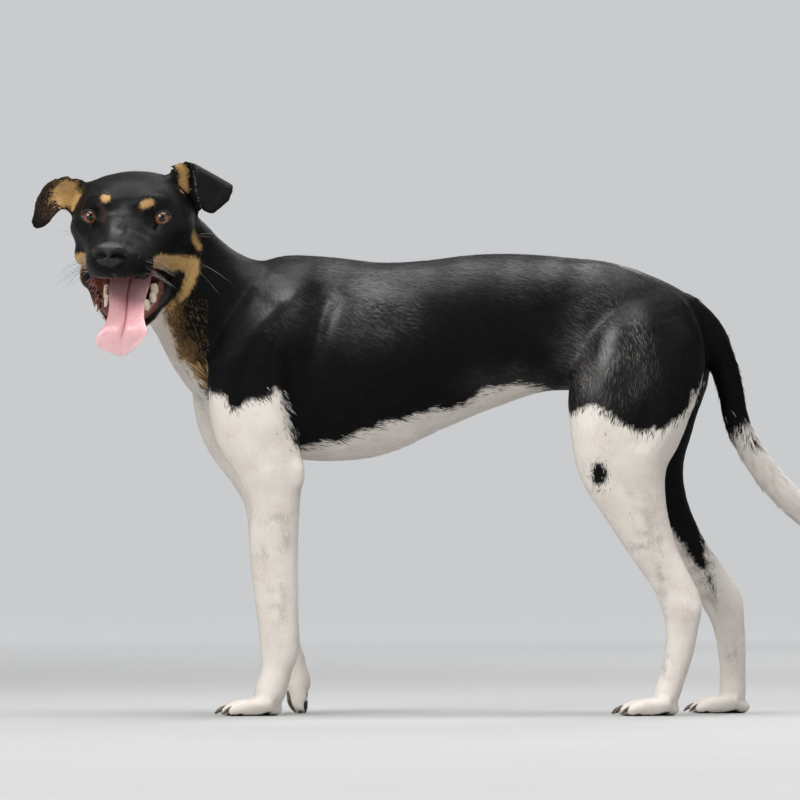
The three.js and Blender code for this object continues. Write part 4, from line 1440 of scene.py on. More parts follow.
@dataclass
class Markings:
    """Where the coat is white, tan, ticked or bare."""

    anatomy: Anatomy

    def into_head(self, points: Array) -> Array:
        """Drawing points in the head's frame."""
        return self.anatomy.drawing.into_head(points)

    def plan(self, head: Array, folded: bool = False) -> Array:
        """The face's front plan: left and up, slid with the distance forward.

        Args:
            head: places in the head's frame.
            folded: whether the right half is laid onto the left.
        Returns:
            Rows of two numbers.
        """
        left = np.abs(head[:, 1] - 1) if folded else head[:, 1]
        slid = np.stack([left, head[:, 2]], -1)
        return slid - np.outer(head[:, 0], PLAN_SLANT)

    def of(self, points: Array, parts: Array, normals: Array) -> Marks:
        """The marks at points of the drawing frame.

        Args:
            points: places on the skin.
            parts: the body part of each.
            normals: the skin's normals there.
        Returns:
            The marks.
        """
        head = self.into_head(points)
        facing = normals @ self.anatomy.drawing.head[0]
        ears, on_face = np.isin(parts, EARS), np.isin(parts, FACE)
        white = self.white(points, head, parts)
        tan = self.tan_of_face(head, on_face, parts == Part.NECK)
        tan = np.where(ears, np.where(facing > 0.1, self.gold_of_ears(head, parts), -20.0), tan)
        throat = (points[:, 2] > 325) & (points[:, 2] < 412) & (points[:, 0] < -192) & ~ears
        tan = np.where(throat, np.maximum(tan, 0.3 - 0.055 * np.clip(-white, 0, 60)), tan)
        path, radius = SORE
        sore = blend(radius, radius - 3, to_path(self.plan(head), path))
        flush = np.where(parts == Part.HEAD, sore, 0) * blend(-20, 0, head[:, 0])
        gloss = self.gloss(points, head, parts)
        # silver in the black hair: painted sheen in the glossy patches, pale hair on lip and ear edge
        painted_sheen_and_frost = self.painted_sheen_and_frost(parts, head, points[:, 0], gloss)
        painted_sheen_and_frost = np.where((parts == Part.EAR_LEFT) & (facing < 0), 0.02, painted_sheen_and_frost)
        return Marks(white, tan, self.ticking(points, parts), 0.3 * flush, painted_sheen_and_frost, gloss)

    def white(self, points: Array, head: Array, parts: Array) -> Array:
        """Distance into the white: of the body, the tail's end and the underside of the jaw.

        Args:
            points, head: places in the drawing's and in the head's frame.
            parts: the body part of each.
        Returns:
            One distance for each point.
        """
        tail = TAIL_WHITE - points[:, 2] + 9 * waves(points, 26, 5) + 0.35 * (points[:, 0] - 338)
        white = np.where(parts == Part.TAIL, tail, self.white_of_body(points))
        under = -head[:, 2] - 80 + 0.35 * head[:, 0] - 0.28 * np.abs(head[:, 1] - 3)
        jaw = np.where((parts == Part.JAW) & (head[:, 0] < 30), under * 0.6, -9.0)
        cheek = (parts == Part.HEAD) & (head[:, 2] < -58) & (head[:, 0] < 12)
        return np.where(np.isin(parts, FACE + EARS) & ~cheek, jaw, white)

    def gloss(self, points: Array, head: Array, parts: Array) -> Array:
        """The share of gloss: flat-topped Gaussians over back, shoulder and thigh; little on the face.

        Args:
            points, head: places in the drawing's and in the head's frame.
            parts: the body part of each.
        Returns:
            One share for each point.
        """
        share = np.zeros(len(points))
        for x, z, wide, high, most in GLOSS:
            share = np.maximum(share, most * np.exp(-0.9 * from_spot(points, x, z, wide, high)**1.6))
        share = share * (0.85 + 0.3 * waves(points, 40, 41))
        bridge = to_path(self.plan(head), BRIDGE)
        face = 0.1 + 0.35 * blend(15, 3, bridge) * (parts == Part.HEAD)
        return np.clip(np.where(parts >= Part.HEAD, face, share), 0, 1)

    def painted_sheen_and_frost(self, parts: Array, head: Array, x: Array, gloss: Array) -> Array:
        """How silvery the palest black hairs are.

        Where the coat is glossy, and more so at the thigh, the silver is a painted sheen; on the upper
        lip and on one ear's edge it is pale hair.

        Args:
            parts: the body part of each place.
            head: the places in the head's frame.
            x: their x in the drawing frame.
            gloss: the share of gloss there.
        Returns:
            One share for each place.
        """
        # painted sheen: silver in the glossy black coat, more at the thigh
        body = 0.006 + (0.11 + 0.08 * blend(120, 190, x)) * gloss
        face = np.isin(parts, FACE)
        lips = np.full(len(parts), 99.0)
        lips[face] = np.minimum(*(to_path(head[face], lip[:4]) for lip in LIPS[:2]))
        edge = to_path(self.plan(head), EAR_EDGE)
        body = np.where(parts == Part.EAR_LEFT, 0.02 + 0.5 * blend(1.8, 0.7, edge), body)
        # on the face: painted sheen with the gloss, and pale hair along the upper lip
        return np.where(face, 0.015 + 0.15 * gloss + 0.4 * blend(7.5, 3.0, lips), body)

    def warm(self, points: Array, parts: Array) -> Array:
        """The share of pink in bare skin: in the fold beside the teeth, a little in the right ear."""
        fold = to_path(self.plan(self.into_head(points)), CHEEK_FOLD)
        share = np.where(np.isin(parts, FACE), blend(3.4, 1.4, fold), 0.0)
        return np.where(parts == Part.EAR_RIGHT, 0.05, share)

    def tan_of_face(self, head: Array, on_face: Array, on_neck: Array) -> Array:
        """Distance into the tan of cheeks, brows and throat.

        Args:
            head: places in the head's frame.
            on_face, on_neck: which of them are on head or jaw, and which on the neck.
        Returns:
            One distance for each place.
        """
        folded, plan = self.plan(head, True), self.plan(head)
        near = (on_face | on_neck) & (head[:, 0] > -72)
        path, radius = CHEEK_SPOT
        behind = 0.5 * np.maximum(np.abs(head[:, 0] + 40) - 10, 0)
        spot = radius - np.hypot(to_path(folded, path), behind)
        band = inside_outline(folded, TAN_BAND) + 0.8 * waves(head, 7, 8)
        found = np.where(near, np.maximum(band, spot), -20.0)
        for path, radius in BROW_SPOTS:
            brow = on_face & (head[:, 0] > -15)
            found = np.where(brow, np.maximum(found, radius - to_path(plan, path)), found)
        path, radius = MUZZLE_TINGE
        tinge = radius - to_path(folded, path) - 6.2
        return np.where(on_face & (head[:, 0] > 25), np.maximum(found, tinge), found)

    def gold_of_ears(self, head: Array, parts: Array) -> Array:
        """Distance into the golden hair in the open sides of the ears."""
        plan = self.plan(head)
        path, radius = EAR_LEFT_GOLD
        right = inside_outline(plan, EAR_RIGHT_GOLD) + 1.5 * waves(head, 9, 9)
        return np.where(parts == Part.EAR_LEFT, radius - to_path(plan, path), right)

    def white_of_body(self, points: Array) -> Array:
        """Distance into the white of chest, belly and legs, with a wavering edge."""
        right = blend(-20, 40, points[:, 1])
        moved = points[:, [0, 2]] + np.stack([5 * right, 6 * right], -1)
        found = inside_outline(moved, WHITE_EDGE + WHITE_BELOW)
        found = found + 2.4 * waves(points, 24, 1) + 1.2 * waves(points, 8, 2)
        x, z, wide, high = THIGH_SPOT
        spot = (np.sqrt(from_spot(points, x, z, wide, high)) - 1) * wide
        spot = np.where(points[:, 1] < 0, spot, 9.0)
        dark = inside_outline(points[:, [0, 2]], DARK_THIGH) + 2.5 * waves(points, 16, 3)
        dark = dark - 0.5 * np.maximum(points[:, 1] - 56, 0) - 0.05 * np.maximum(205 - points[:, 2], 0)
        dark = np.where(points[:, 1] > 12, dark, -9.0)
        return np.minimum(found, np.minimum(spot, -dark))

    def ticking(self, points: Array, parts: Array) -> Array:
        """The share of grey hairs: in soft patches down the legs, each a Gaussian of height and x."""
        share = np.zeros(len(points))
        for leg, x, z, wide, high, most in TICKS:
            share += np.where(parts == leg, most * np.exp(-from_spot(points, x, z, wide, high)), 0.0)
        return np.minimum(2.2 * share, 0.9) * blend(-0.9, 0.6, waves(points, 14, 4))

    def mouth(self, head: Array) -> Array:
        """Distance into the mouth's hollow, worked out from the sections of its floor and palate."""
        best = np.full(len(head), -20.0)
        for table in (MOUTH_FLOOR, PALATE):
            rows = spline(table, 8)
            along, up, side = path_frames(rows[:, :3], (0, 0, 1))
            near = ((head[:, None, :] - rows[:, :3]) ** 2).sum(-1).argmin(axis=1)
            away = head - rows[near, :3]
            high, wide = (away * up[near]).sum(-1), (away * side[near]).sum(-1)
            ends = np.abs((away * along[near]).sum(-1))
            reach = np.where(high > 0, rows[near, 3], rows[near, 4])
            value = (np.abs(high / reach) ** 2.2 + np.abs(wide / rows[near, 5]) ** 2.2) ** (1 / 2.2)
            best = np.maximum(best, np.minimum((1 - value) * 12, 6 - ends))
        return best

    def gape(self, head: Array, normals: Array) -> Array:
        """Distance into the open mouth on the front plan, for what faces forward or up over the lip."""
        axes = self.anatomy.drawing.head
        seen = (normals @ axes[0] > -0.2) | (normals @ axes[2] > 0.25) | (head[:, 2] > -62)
        lip = np.where(head[:, 1] > 5, -82, -74) - 0.72 * head[:, 0]
        inside = inside_outline(self.plan(head), MOUTH_OUTLINE)
        return np.where(seen & (head[:, 0] > -52) & (head[:, 2] > lip), inside, -9.0)

    def bare(self, points: Array, parts: Array, normals: Array) -> Array:
        """1 where no hair grows: in the mouth, on lips, nose, lids and soles, less in the right ear.

        Args:
            points: places on the skin.
            parts: the body part of each.
            normals: the skin's normals there.
        Returns:
            One share for each point.
        """
        head = self.into_head(points)
        found = np.zeros(len(points))
        near = np.isin(parts, FACE + EARS + (Part.NECK,))
        local = head[near]
        share = blend(-1.6, 0.2, self.mouth(local))
        share = np.maximum(share, blend(-0.6, 0.8, self.gape(local, normals[near])))
        for lip in LIPS:
            share = np.maximum(share, blend(3.2, 1.8, to_path(local, lip)))
        for eye in EYES.values():
            close = np.linalg.norm(local - np.array(eye.at), axis=1) < 2 * EYE_RADIUS
            opened = np.full(len(local), -9.0)
            opened[close] = eye.opening(local[close])
            share = np.maximum(share, blend(-1.1, -0.2, opened))
        nose = to_path(local, np.array(NOSE)[:, :3])
        share = np.maximum(share, blend(18.5, 16.5, nose) * blend(56, 62, local[:, 0]))
        found[near] = share
        gold = inside_outline(self.plan(head), EAR_RIGHT_GOLD)
        facing = blend(0.0, 0.4, normals @ self.anatomy.drawing.head[0])
        naked = 0.6 * blend(12.5, 8.5, to_path(head, EAR_HOLLOW)) * facing * blend(-4.0, -9.0, gold)
        found = np.maximum(found, np.where(parts == Part.EAR_RIGHT, naked, 0))
        sole = np.isin(parts, tuple(PAWS)) & (normals[:, 2] < -0.86)
        return np.maximum(found, sole)


# -----------------------------------------------------------------------------
# The coat
# -----------------------------------------------------------------------------


class Region(Enum):
    """The pieces that the coat is made in, and the body parts and side of each."""

    BACK_LEFT = ("coat_trunk_left", (Part.TRUNK,), -1)
    BACK_RIGHT = ("coat_trunk_right", (Part.TRUNK,), 1)
    NECK = ("coat_neck", (Part.NECK,), 0)
    HEAD_LEFT = ("coat_head_left", (Part.HEAD, Part.JAW), -1)
    HEAD_RIGHT = ("coat_head_right", (Part.HEAD, Part.JAW), 1)
    EARS = ("coat_ears", (Part.EAR_LEFT, Part.EAR_RIGHT), 0)
    FORELEG_LEFT = ("coat_foreleg_left", (Part.FORELEG_LEFT,), 0)
    FORELEG_RIGHT = ("coat_foreleg_right", (Part.FORELEG_RIGHT,), 0)
    HINDLEG_LEFT = ("coat_hindleg_left", (Part.HINDLEG_LEFT,), 0)
    HINDLEG_RIGHT = ("coat_hindleg_right", (Part.HINDLEG_RIGHT,), 0)
    PAWS = ("coat_paws", tuple(PAWS), 0)
    TAIL = ("coat_tail", (Part.TAIL,), 0)


@dataclass
class Coat:
    """Hair tufts over the whole skin, each a closed spindle of six triangles.

    Attributes:
        skin, markings: what it grows on and how it is coloured.
        tuft_share: area of a tuft seen from above, as a share of length times width.
        ring: how far along a tuft its ring lies.
        stray, stray_lift: the share of tufts that stand off more, and how much more.
        patch: side of a tuft's patch on its unwrap.
        seed: of all its random numbers.
        tree, normals: the skin's search tree and its normals.
    """

    skin: Skin
    markings: Markings
    tuft_share: float = 0.55
    ring: float = 0.4
    stray: float = 0.05
    stray_lift: float = 2.4
    patch: float = 0.003
    seed: int = 7
    tree: BVHTree = field(init=False)
    normals: Array = field(init=False)

    def __post_init__(self) -> None:
        """Prepares the search tree of the skin."""
        self.tree = BVHTree.FromPolygons(self.skin.points.tolist(), self.skin.quads.tolist())
        self.normals = self.skin.normals()

    def on_skin(self, points: Array) -> tuple[Array, Array]:
        """The nearest places on the skin and the skin's smooth normals there."""
        found = [self.tree.find_nearest(p) for p in points.tolist()]
        places = np.array([f[0] for f in found])
        corners = self.skin.quads[[f[2] for f in found]]
        gap = np.linalg.norm(self.skin.points[corners] - places[:, None], axis=-1)
        weight = 1 / (gap + 0.3)
        normal = (self.normals[corners] * weight[..., None]).sum(axis=1)
        return places, unit(normal)

    def length_share(self, points: Array, parts: Array) -> Array:
        """How the hair's length differs over each part, by place.

        Args:
            points: places on the skin.
            parts: the body part of each.
        Returns:
            The share of the kind's length.
        """
        head = self.markings.into_head(points)
        x, z = points[:, 0], points[:, 2]
        on_face, fore = np.isin(parts, FACE), np.isin(parts, FORELEGS)
        share = np.where(on_face, 0.62 + 0.9 * blend(30, -90, head[:, 0]), 1.0)
        under_jaw = on_face & (head[:, 2] < -80) & (head[:, 0] < 10)
        share = np.where(under_jaw, 1.7, share)
        chest = blend(-170, -200, x) * blend(420, 380, z) * np.isin(parts, (Part.TRUNK, Part.NECK))
        belly = (parts == Part.TRUNK) * blend(330, 290, z)
        thigh = np.isin(parts, HINDLEGS) * blend(230, 300, z) * (1 + 0.9 * blend(250, 290, x))
        elbow, behind = fore * blend(230, 320, z), fore * blend(120, 200, z) * blend(-118, -104, x)
        share = share + 0.35 * chest + 0.25 * belly
        share = share + 0.7 * thigh + 0.6 * elbow + 0.5 * behind
        tail = (parts == Part.TAIL) * (0.75 * blend(330, 240, z) - 0.25)
        nape = (parts == Part.NECK) * blend(-110, -70, head[:, 0])
        return (share + tail) * (1 - 0.6 * nape)

    def way(self, flow: Array, normals: Array, points: Array, parts: Array,
            rng: np.random.Generator) -> Array:
        """The hair's way along the skin: the parts' flow, drawn down on the flanks, wavering and ruffled.

        Args:
            flow: the parts' flow at each root.
            normals: the skin's normals there.
            points: the roots.
            parts: the body part of each.
            rng: where the ruffling is drawn from.
        Returns:
            Directions of length 1, square to the normals.
        """
        droop = np.where(np.isin(parts, (Part.TRUNK, Part.NECK)), 0.55, 0.0) * (1 - normals[:, 2] ** 2)
        way = flow + droop[:, None] * np.array([0.0, 0.0, -1.0])
        way = unit(way - (way * normals).sum(-1, keepdims=True) * normals)
        side = np.cross(normals, way)
        turn = 0.16 * waves(points, 42, 11) + 0.12 * waves(points, 13, 12) + rng.normal(0, 0.1, len(points))
        turn = turn * np.where(parts == Part.TAIL, 1.8, 1.0)
        return way * np.cos(turn)[:, None] + side * np.sin(turn)[:, None]

    def roots(self, region: Region, rng: np.random.Generator) -> tuple[Array, Array, Array]:
        """Random places on a region's quads, as many for each as its area and hair kind ask.

        Args:
            region: the piece of the coat.
            rng: where the places are drawn from.
        Returns:
            The quad of each root, its two shares across the quad, and the roots' places.
        """
        _, wanted, side = region.value
        quads = self.skin.quads
        part = self.skin.parts()[quads[:, 0]]
        corners = self.skin.points[quads]
        middle = corners.mean(axis=1)
        chosen = np.isin(part, wanted)
        if side:
            left = self.markings.into_head(middle)[:, 1] if Part.HEAD in wanted else -middle[:, 1]
            chosen &= (left > 0) == (side < 0)
        normal = np.cross(corners[:, 2] - corners[:, 0], corners[:, 3] - corners[:, 1]) / 2
        area = np.linalg.norm(normal, axis=1)
        kind_area = per_part(part, "length") * per_part(part, "width") * self.tuft_share
        count = area * per_part(part, "cover") / (kind_area * self.length_share(middle, part))
        bare = self.markings.bare(middle, part, unit(normal))
        count = np.where(chosen, count * (1 - bare), 0)
        total = int(count.sum())
        quad = rng.choice(len(quads), total, p=count / count.sum())
        share = rng.uniform(0, 1, (total, 2))
        return quad, share, in_quads(corners[quad], share)

    def build(self, region: Region, index: int) -> Object:
        """One piece of the coat.

        A tuft is root, a ring of three points and tip. The ring's sides lie half the width to each
        side, its ridge stands over them, and ring and tip are both laid on the skin, so a tuft bends
        with it. It is shaded by the skin's own normals, leaned a little to its sides, so that short
        hair looks smooth.

        Args:
            region: which piece.
            index: its number, for its own random draws.
        Returns:
            The object.
        """
        rng = np.random.default_rng(self.seed + index)
        name = region.value[0]
        quad, share, root = self.roots(region, rng)
        first = self.skin.quads[quad]
        part = self.skin.parts()[first[:, 0]]
        normal = unit(self.normals[first].mean(axis=1))
        way = self.way(unit(self.skin.flow[first].mean(axis=1)), normal, root, part, rng)
        scale = self.length_share(root, part)
        length = per_part(part, "length") * scale * rng.uniform(0.72, 1.25, len(root))
        width = per_part(part, "width") * np.sqrt(scale) * rng.uniform(0.75, 1.3, len(root))
        stray = rng.uniform(0, 1, len(root)) < self.stray
        lift = per_part(part, "lift") * scale * rng.uniform(0.5, 1.5, len(root))
        lift = lift * np.where(stray, self.stray_lift, 1.0)
        ring_at, ring_normal = self.on_skin(root + way * (self.ring * length)[:, None])
        ahead = way - (way * ring_normal).sum(-1, keepdims=True) * ring_normal
        rest = (1 - self.ring) * length
        tip_at, tip_normal = self.on_skin(ring_at + unit(ahead) * rest[:, None])
        side = unit(np.cross(ring_normal, unit(tip_at - root)))
        thick = 0.12 * width
        left = ring_at + side * (width / 2)[:, None] + ring_normal * (0.25 * lift)[:, None]
        right = ring_at - side * (width / 2)[:, None] + ring_normal * (0.25 * lift)[:, None]
        ridge_at = ring_at + ring_normal * (0.45 * lift + thick)[:, None]
        tip = tip_at + tip_normal * lift[:, None]
        start = root - normal * 0.5
        points = np.stack([start, left, ridge_at, right, tip], axis=1)
        base = np.arange(len(root))[:, None, None] * 5
        corners = np.array([(0, 2, 1), (0, 3, 2), (4, 1, 2), (4, 2, 3), (0, 1, 3), (4, 3, 1)])
        faces = (base + corners).reshape(-1, 3)
        mesh = mesh_of(name, self.skin.anatomy.drawing.to_solids(points.reshape(-1, 3)), [faces])
        marks = self.tuft_marks(root, part, normal, rng)
        paint(mesh, "marks", np.repeat(marks[:, :3], 5, axis=0))
        spread = side * np.where(marks[:, :1] > 0.4, 0.14, 0.7)
        mesh.polygons.foreach_set("use_smooth", np.ones(len(mesh.polygons), bool))
        facing = [normal, ring_normal + spread, ring_normal, ring_normal - spread, tip_normal]
        mesh.normals_split_custom_set_from_vertices(unit(np.stack(facing, axis=1)).reshape(-1, 3))
        strand = np.tile([0.0, self.ring, self.ring, self.ring, 1.0], len(root))
        tone = np.repeat(rng.uniform(0, 1, len(root)), 5)
        paint(mesh, "strand", np.stack([strand, tone, np.repeat(marks[:, 3], 5)], -1))
        at = self.skin.unwrapped(first, region.value[1], share)
        patch = np.array([(0, 0.5), (-0.5, 0), (0, 0), (0.5, 0), (0, -0.5)]) * self.patch
        uv = (at[:, None, :] + patch).reshape(-1, 2)
        write_unwrap(mesh, uv[corners_of(mesh)])
        log.info("%s: %d tufts", name, len(root))
        return linked(name, mesh)

    def tuft_marks(self, root: Array, part: Array, normal: Array, rng: np.random.Generator) -> Array:
        """White, tan, flush and gloss of each tuft, so that an edge is a mix of whole tufts.

        A tuft takes white or tan where its distance into them, wavered by chance, is above zero. Then
        chance makes some white tufts grey and some black ones silvery: a painted sheen in the glossy
        patches, pale hair on the upper lip and an ear's edge. The edge of the neck's white is tinted
        cream: painted reflected light.

        Args:
            root: the tufts' roots.
            part: the body part of each.
            normal: the skin's normals there.
            rng: where the chances are drawn from.
        Returns:
            Rows of the four shares.
        """
        found = self.markings.of(root, part, normal)
        fringe = rng.normal(0, 1, len(root))
        reach = np.where(part == Part.TAIL, 7.0, np.where(part >= Part.HEAD, 1.0, 2.6))
        white = (found.white + reach * fringe > 0).astype(float)
        # painted reflected light: a warm cream tint at the edge of the neck's white
        painted_warm_bounce = (part == Part.NECK) & (found.white < 9) & (root[:, 2] > 335)
        white = white * np.where(painted_warm_bounce, 0.72, 1.0)
        grey = rng.uniform(0, 1, len(root)) < found.grey
        white = np.where(grey & (white > 0), rng.uniform(0.55, 0.9, len(root)), white)
        # black tufts turned silvery: painted sheen in the glossy patches
        sheen_and_frost_tufts = (rng.uniform(0, 1, len(root)) < 0.3 + 0.55 * found.gloss) & (white <= 0)
        white = np.where(sheen_and_frost_tufts, found.painted_sheen_and_frost * rng.uniform(0.3, 1.1, len(root)), white)
        loose = np.where(part == Part.EAR_RIGHT, 3.5, np.where(part == Part.NECK, 1.8, 1.1))
        tan = ((found.tan + loose * rng.normal(0, 1, len(root))) > 0) * rng.uniform(0.7, 1.0, len(root))
        # partly painted shade: the throat's sparse tan hairs, real in colour, are dimmed to dark brown
        tan = tan * np.where((part == Part.NECK) & (found.tan < 1.5), 0.3, 1.0)
        tan = tan * np.where((part == Part.HEAD) & (found.tan < 0.3), 0.5, 1.0)
        tan = np.maximum(tan, 0.1 * ((part == Part.EAR_RIGHT) & (found.tan > -19)))
        # the cream of the painted reflected light, mixed from tan and white
        tan = np.maximum(tan, painted_warm_bounce * (white > 0.5))
        return np.stack([white, tan, found.flush, found.gloss * rng.uniform(0.4, 1.3, len(root))], -1)


def paint(mesh: Mesh, name: str, values: Array) -> None:
    """Stores three numbers for each vertex under a name that materials read."""
    layer = mesh.attributes.new(name, "FLOAT_VECTOR", "POINT")
    layer.data.foreach_set("vector", np.ascontiguousarray(values, np.float32).ravel())


def write_unwrap(mesh: Mesh, uv: Array) -> None:
    """Stores the unwrap that the looks are baked on, one (u, v) for each face corner."""
    layer = mesh.uv_layers.new(name="OFBake")
    layer.data.foreach_set("uv", uv.astype(np.float32).ravel())


# -----------------------------------------------------------------------------
# Finishes
# -----------------------------------------------------------------------------


class Signal:
    """A socket's value in a material, which Python's operators reckon with by adding Math nodes."""

    def __init__(self, graph: Graph, socket: bpy.types.NodeSocket) -> None:
        """Keeps the graph and the output socket."""
        self.graph = graph
        self.socket = socket

    def math(self, operation: str, *values: Signal | float) -> Signal:
        """One Math node on these values."""
        return self.graph.node("ShaderNodeMath", {"operation": operation}, dict(enumerate(values)))

    def __add__(self, other: Signal | float) -> Signal:
        """Sum."""
        return self.math("ADD", self, other)

    def __sub__(self, other: Signal | float) -> Signal:
        """Difference."""
        return self.math("SUBTRACT", self, other)

    def __mul__(self, other: Signal | float) -> Signal:
        """Product."""
        return self.math("MULTIPLY", self, other)

    def __truediv__(self, other: Signal | float) -> Signal:
        """Quotient."""
        return self.math("DIVIDE", self, other)

    def __rsub__(self, other: float) -> Signal:
        """A number less this value."""
        return self.math("SUBTRACT", other, self)

    def __pow__(self, other: float) -> Signal:
        """Power."""
        return self.math("POWER", self, other)

    __radd__ = __add__
    __rmul__ = __mul__

    def clamp(self) -> Signal:
        """The value kept to 0..1."""
        return self.graph.node("ShaderNodeClamp", {}, {0: self})

    def smooth(self, low: float, high: float) -> Signal:
        """Smooth step: 0 at low, 1 at high; low may be the larger one."""
        if low > high:
            return 1 - self.smooth(high, low)
        settings = {"interpolation_type": "SMOOTHSTEP"}
        return self.graph.node("ShaderNodeMapRange", settings, {0: self, 1: low, 2: high})

    def part(self, name: str) -> Signal:
        """Another output of the same node."""
        return Signal(self.graph, self.socket.node.outputs[name])


class Graph:
    """The node tree of one material."""

    def __init__(self, name: str) -> None:
        """Makes an empty node material."""
        self.material = bpy.data.materials.new(name)
        self.material.use_nodes = True
        self.nodes = self.material.node_tree.nodes
        self.links = self.material.node_tree.links
        self.nodes.clear()

    def node(self, kind: str, settings: dict, inputs: dict) -> Signal:
        """Adds one node.

        Args:
            kind: its type.
            settings: its properties, which are set first.
            inputs: values or signals by socket name or number.
        Returns:
            Its first output.
        """
        made = self.nodes.new(kind)
        for key, value in settings.items():
            setattr(made, key, value)
        for key, value in inputs.items():
            socket = made.inputs[key]
            if isinstance(value, Signal):
                self.links.new(value.socket, socket)
            elif isinstance(value, tuple) and len(value) == 3 and socket.type == "RGBA":
                socket.default_value = (*value, 1.0)
            else:
                socket.default_value = value
        return Signal(self, made.outputs[0])

    def mix(self, share: Signal | float, low: Signal | Colour, high: Signal | Colour) -> Signal:
        """A colour between two."""
        made = self.node("ShaderNodeMix", {"data_type": "RGBA"}, {0: share, 6: low, 7: high})
        return Signal(self, made.socket.node.outputs[2])

    def stored(self, name: str) -> tuple[Signal, Signal, Signal]:
        """The three numbers that the mesh stores under a name."""
        vector = self.node("ShaderNodeAttribute", {"attribute_name": name}, {}).part("Vector")
        split = self.node("ShaderNodeSeparateXYZ", {}, {0: vector})
        return split, split.part("Y"), split.part("Z")

    def place(self, scale: Point = (1.0, 1.0, 1.0)) -> Signal:
        """Object coordinates in millimetres, squeezed by a scale."""
        where = self.node("ShaderNodeTexCoord", {}, {}).part("Object")
        size = tuple(k * 1000.0 for k in scale)
        return self.node("ShaderNodeMapping", {}, {"Vector": where, "Scale": size})

    def noise(self, where: Signal, scale: float, detail: float = 3.0, roughness: float = 0.55) -> Signal:
        """Fractal noise in 0..1; ``scale`` is waves for each millimetre."""
        inputs = {"Vector": where, "Scale": scale, "Detail": detail, "Roughness": roughness}
        return self.node("ShaderNodeTexNoise", {}, inputs)

    def cells(self, where: Signal, scale: float) -> Signal:
        """The distance to the nearest of scattered points, for pebbled skin."""
        return self.node("ShaderNodeTexVoronoi", {}, {"Vector": where, "Scale": scale})

    def bump(self, height: Signal, distance: float) -> Signal:
        """A normal bent by a height; ``distance`` in millimetres is the depth of its full range."""
        inputs = {"Height": height, "Distance": distance * MM}
        return self.node("ShaderNodeBump", {}, inputs)

    def finish(self, base: Signal | Colour, roughness: Signal | float, normal: Signal | None = None,
               **fixed: Signal | float | Colour) -> Material:
        """Ends the tree in a Principled shader.

        Args:
            base, roughness, normal: what feeds these sockets.
            fixed: values or signals of its other sockets, with _ for each space in a name.
        Returns:
            The finished material.
        """
        inputs = {"Base Color": base, "Roughness": roughness}
        inputs.update({key.replace("_", " "): value for key, value in fixed.items()})
        if normal is not None:
            inputs["Normal"] = normal
        shader = self.node("ShaderNodeBsdfPrincipled", {}, inputs)
        output = self.nodes.new("ShaderNodeOutputMaterial")
        self.links.new(shader.socket, output.inputs["Surface"])
        return self.material


@dataclass(frozen=True)
class CoatColours:
    """The colours of the coat, shared by tufts and skin."""

    black: Colour = (0.0022, 0.0021, 0.0023)
    black_tip: Colour = (0.0055, 0.0053, 0.0058)
    rust: Colour = (0.009, 0.0055, 0.0035)
    tan: Colour = (0.74, 0.49, 0.21)
    tan_root: Colour = (0.46, 0.26, 0.095)
    white: Colour = (0.77, 0.725, 0.67)
    white_root: Colour = (0.75, 0.695, 0.635)
    flush: Colour = (0.11, 0.065, 0.058)

    def of(self, graph: Graph, marks: tuple[Signal, Signal, Signal], along: Signal | float,
           tone: Signal | float) -> Signal:
        """The hair's colour.

        Args:
            graph: where the nodes go.
            marks: white, tan and flush.
            along: the place along the hair.
            tone: the hair's own tone; high is rusty.
        Returns:
            The colour.
        """
        white, tan, flush = marks
        dark = graph.mix(along, self.black, self.black_tip)
        dark = graph.mix(tone, dark, graph.mix(along, self.black, self.rust))
        brown = graph.mix(along, self.tan_root, self.tan)
        pale = graph.mix(along, self.white_root, self.white)
        colour = graph.mix(tan, dark, brown)
        colour = graph.mix(white, colour, pale)
        return graph.mix(flush, colour, self.flush)


@dataclass(frozen=True)
class HairFinish:
    """Short hair, whose black is glossy in places: a clear coat there, over a deep matte."""

    colours: CoatColours = CoatColours()
    dark_roughness: float = 0.38
    pale_roughness: float = 0.62

    def material(self) -> Material:
        """Colour from the tuft's marks; white hair is rougher than black."""
        graph = Graph("coat")
        marks = graph.stored("marks")
        along, tone, gloss = graph.stored("strand")
        shade = (along * 0.7 + tone * 0.3).clamp()
        colour = self.colours.of(graph, marks, shade, (tone - 0.72) * 2.0)
        rough = self.dark_roughness + marks[0] * (self.pale_roughness - self.dark_roughness)
        shine = (gloss * (1 - marks[0]) * (1 - marks[1])).clamp()
        return graph.finish(colour, rough, Specular_IOR_Level=0.06, Coat_Weight=shine, Coat_Roughness=0.3)


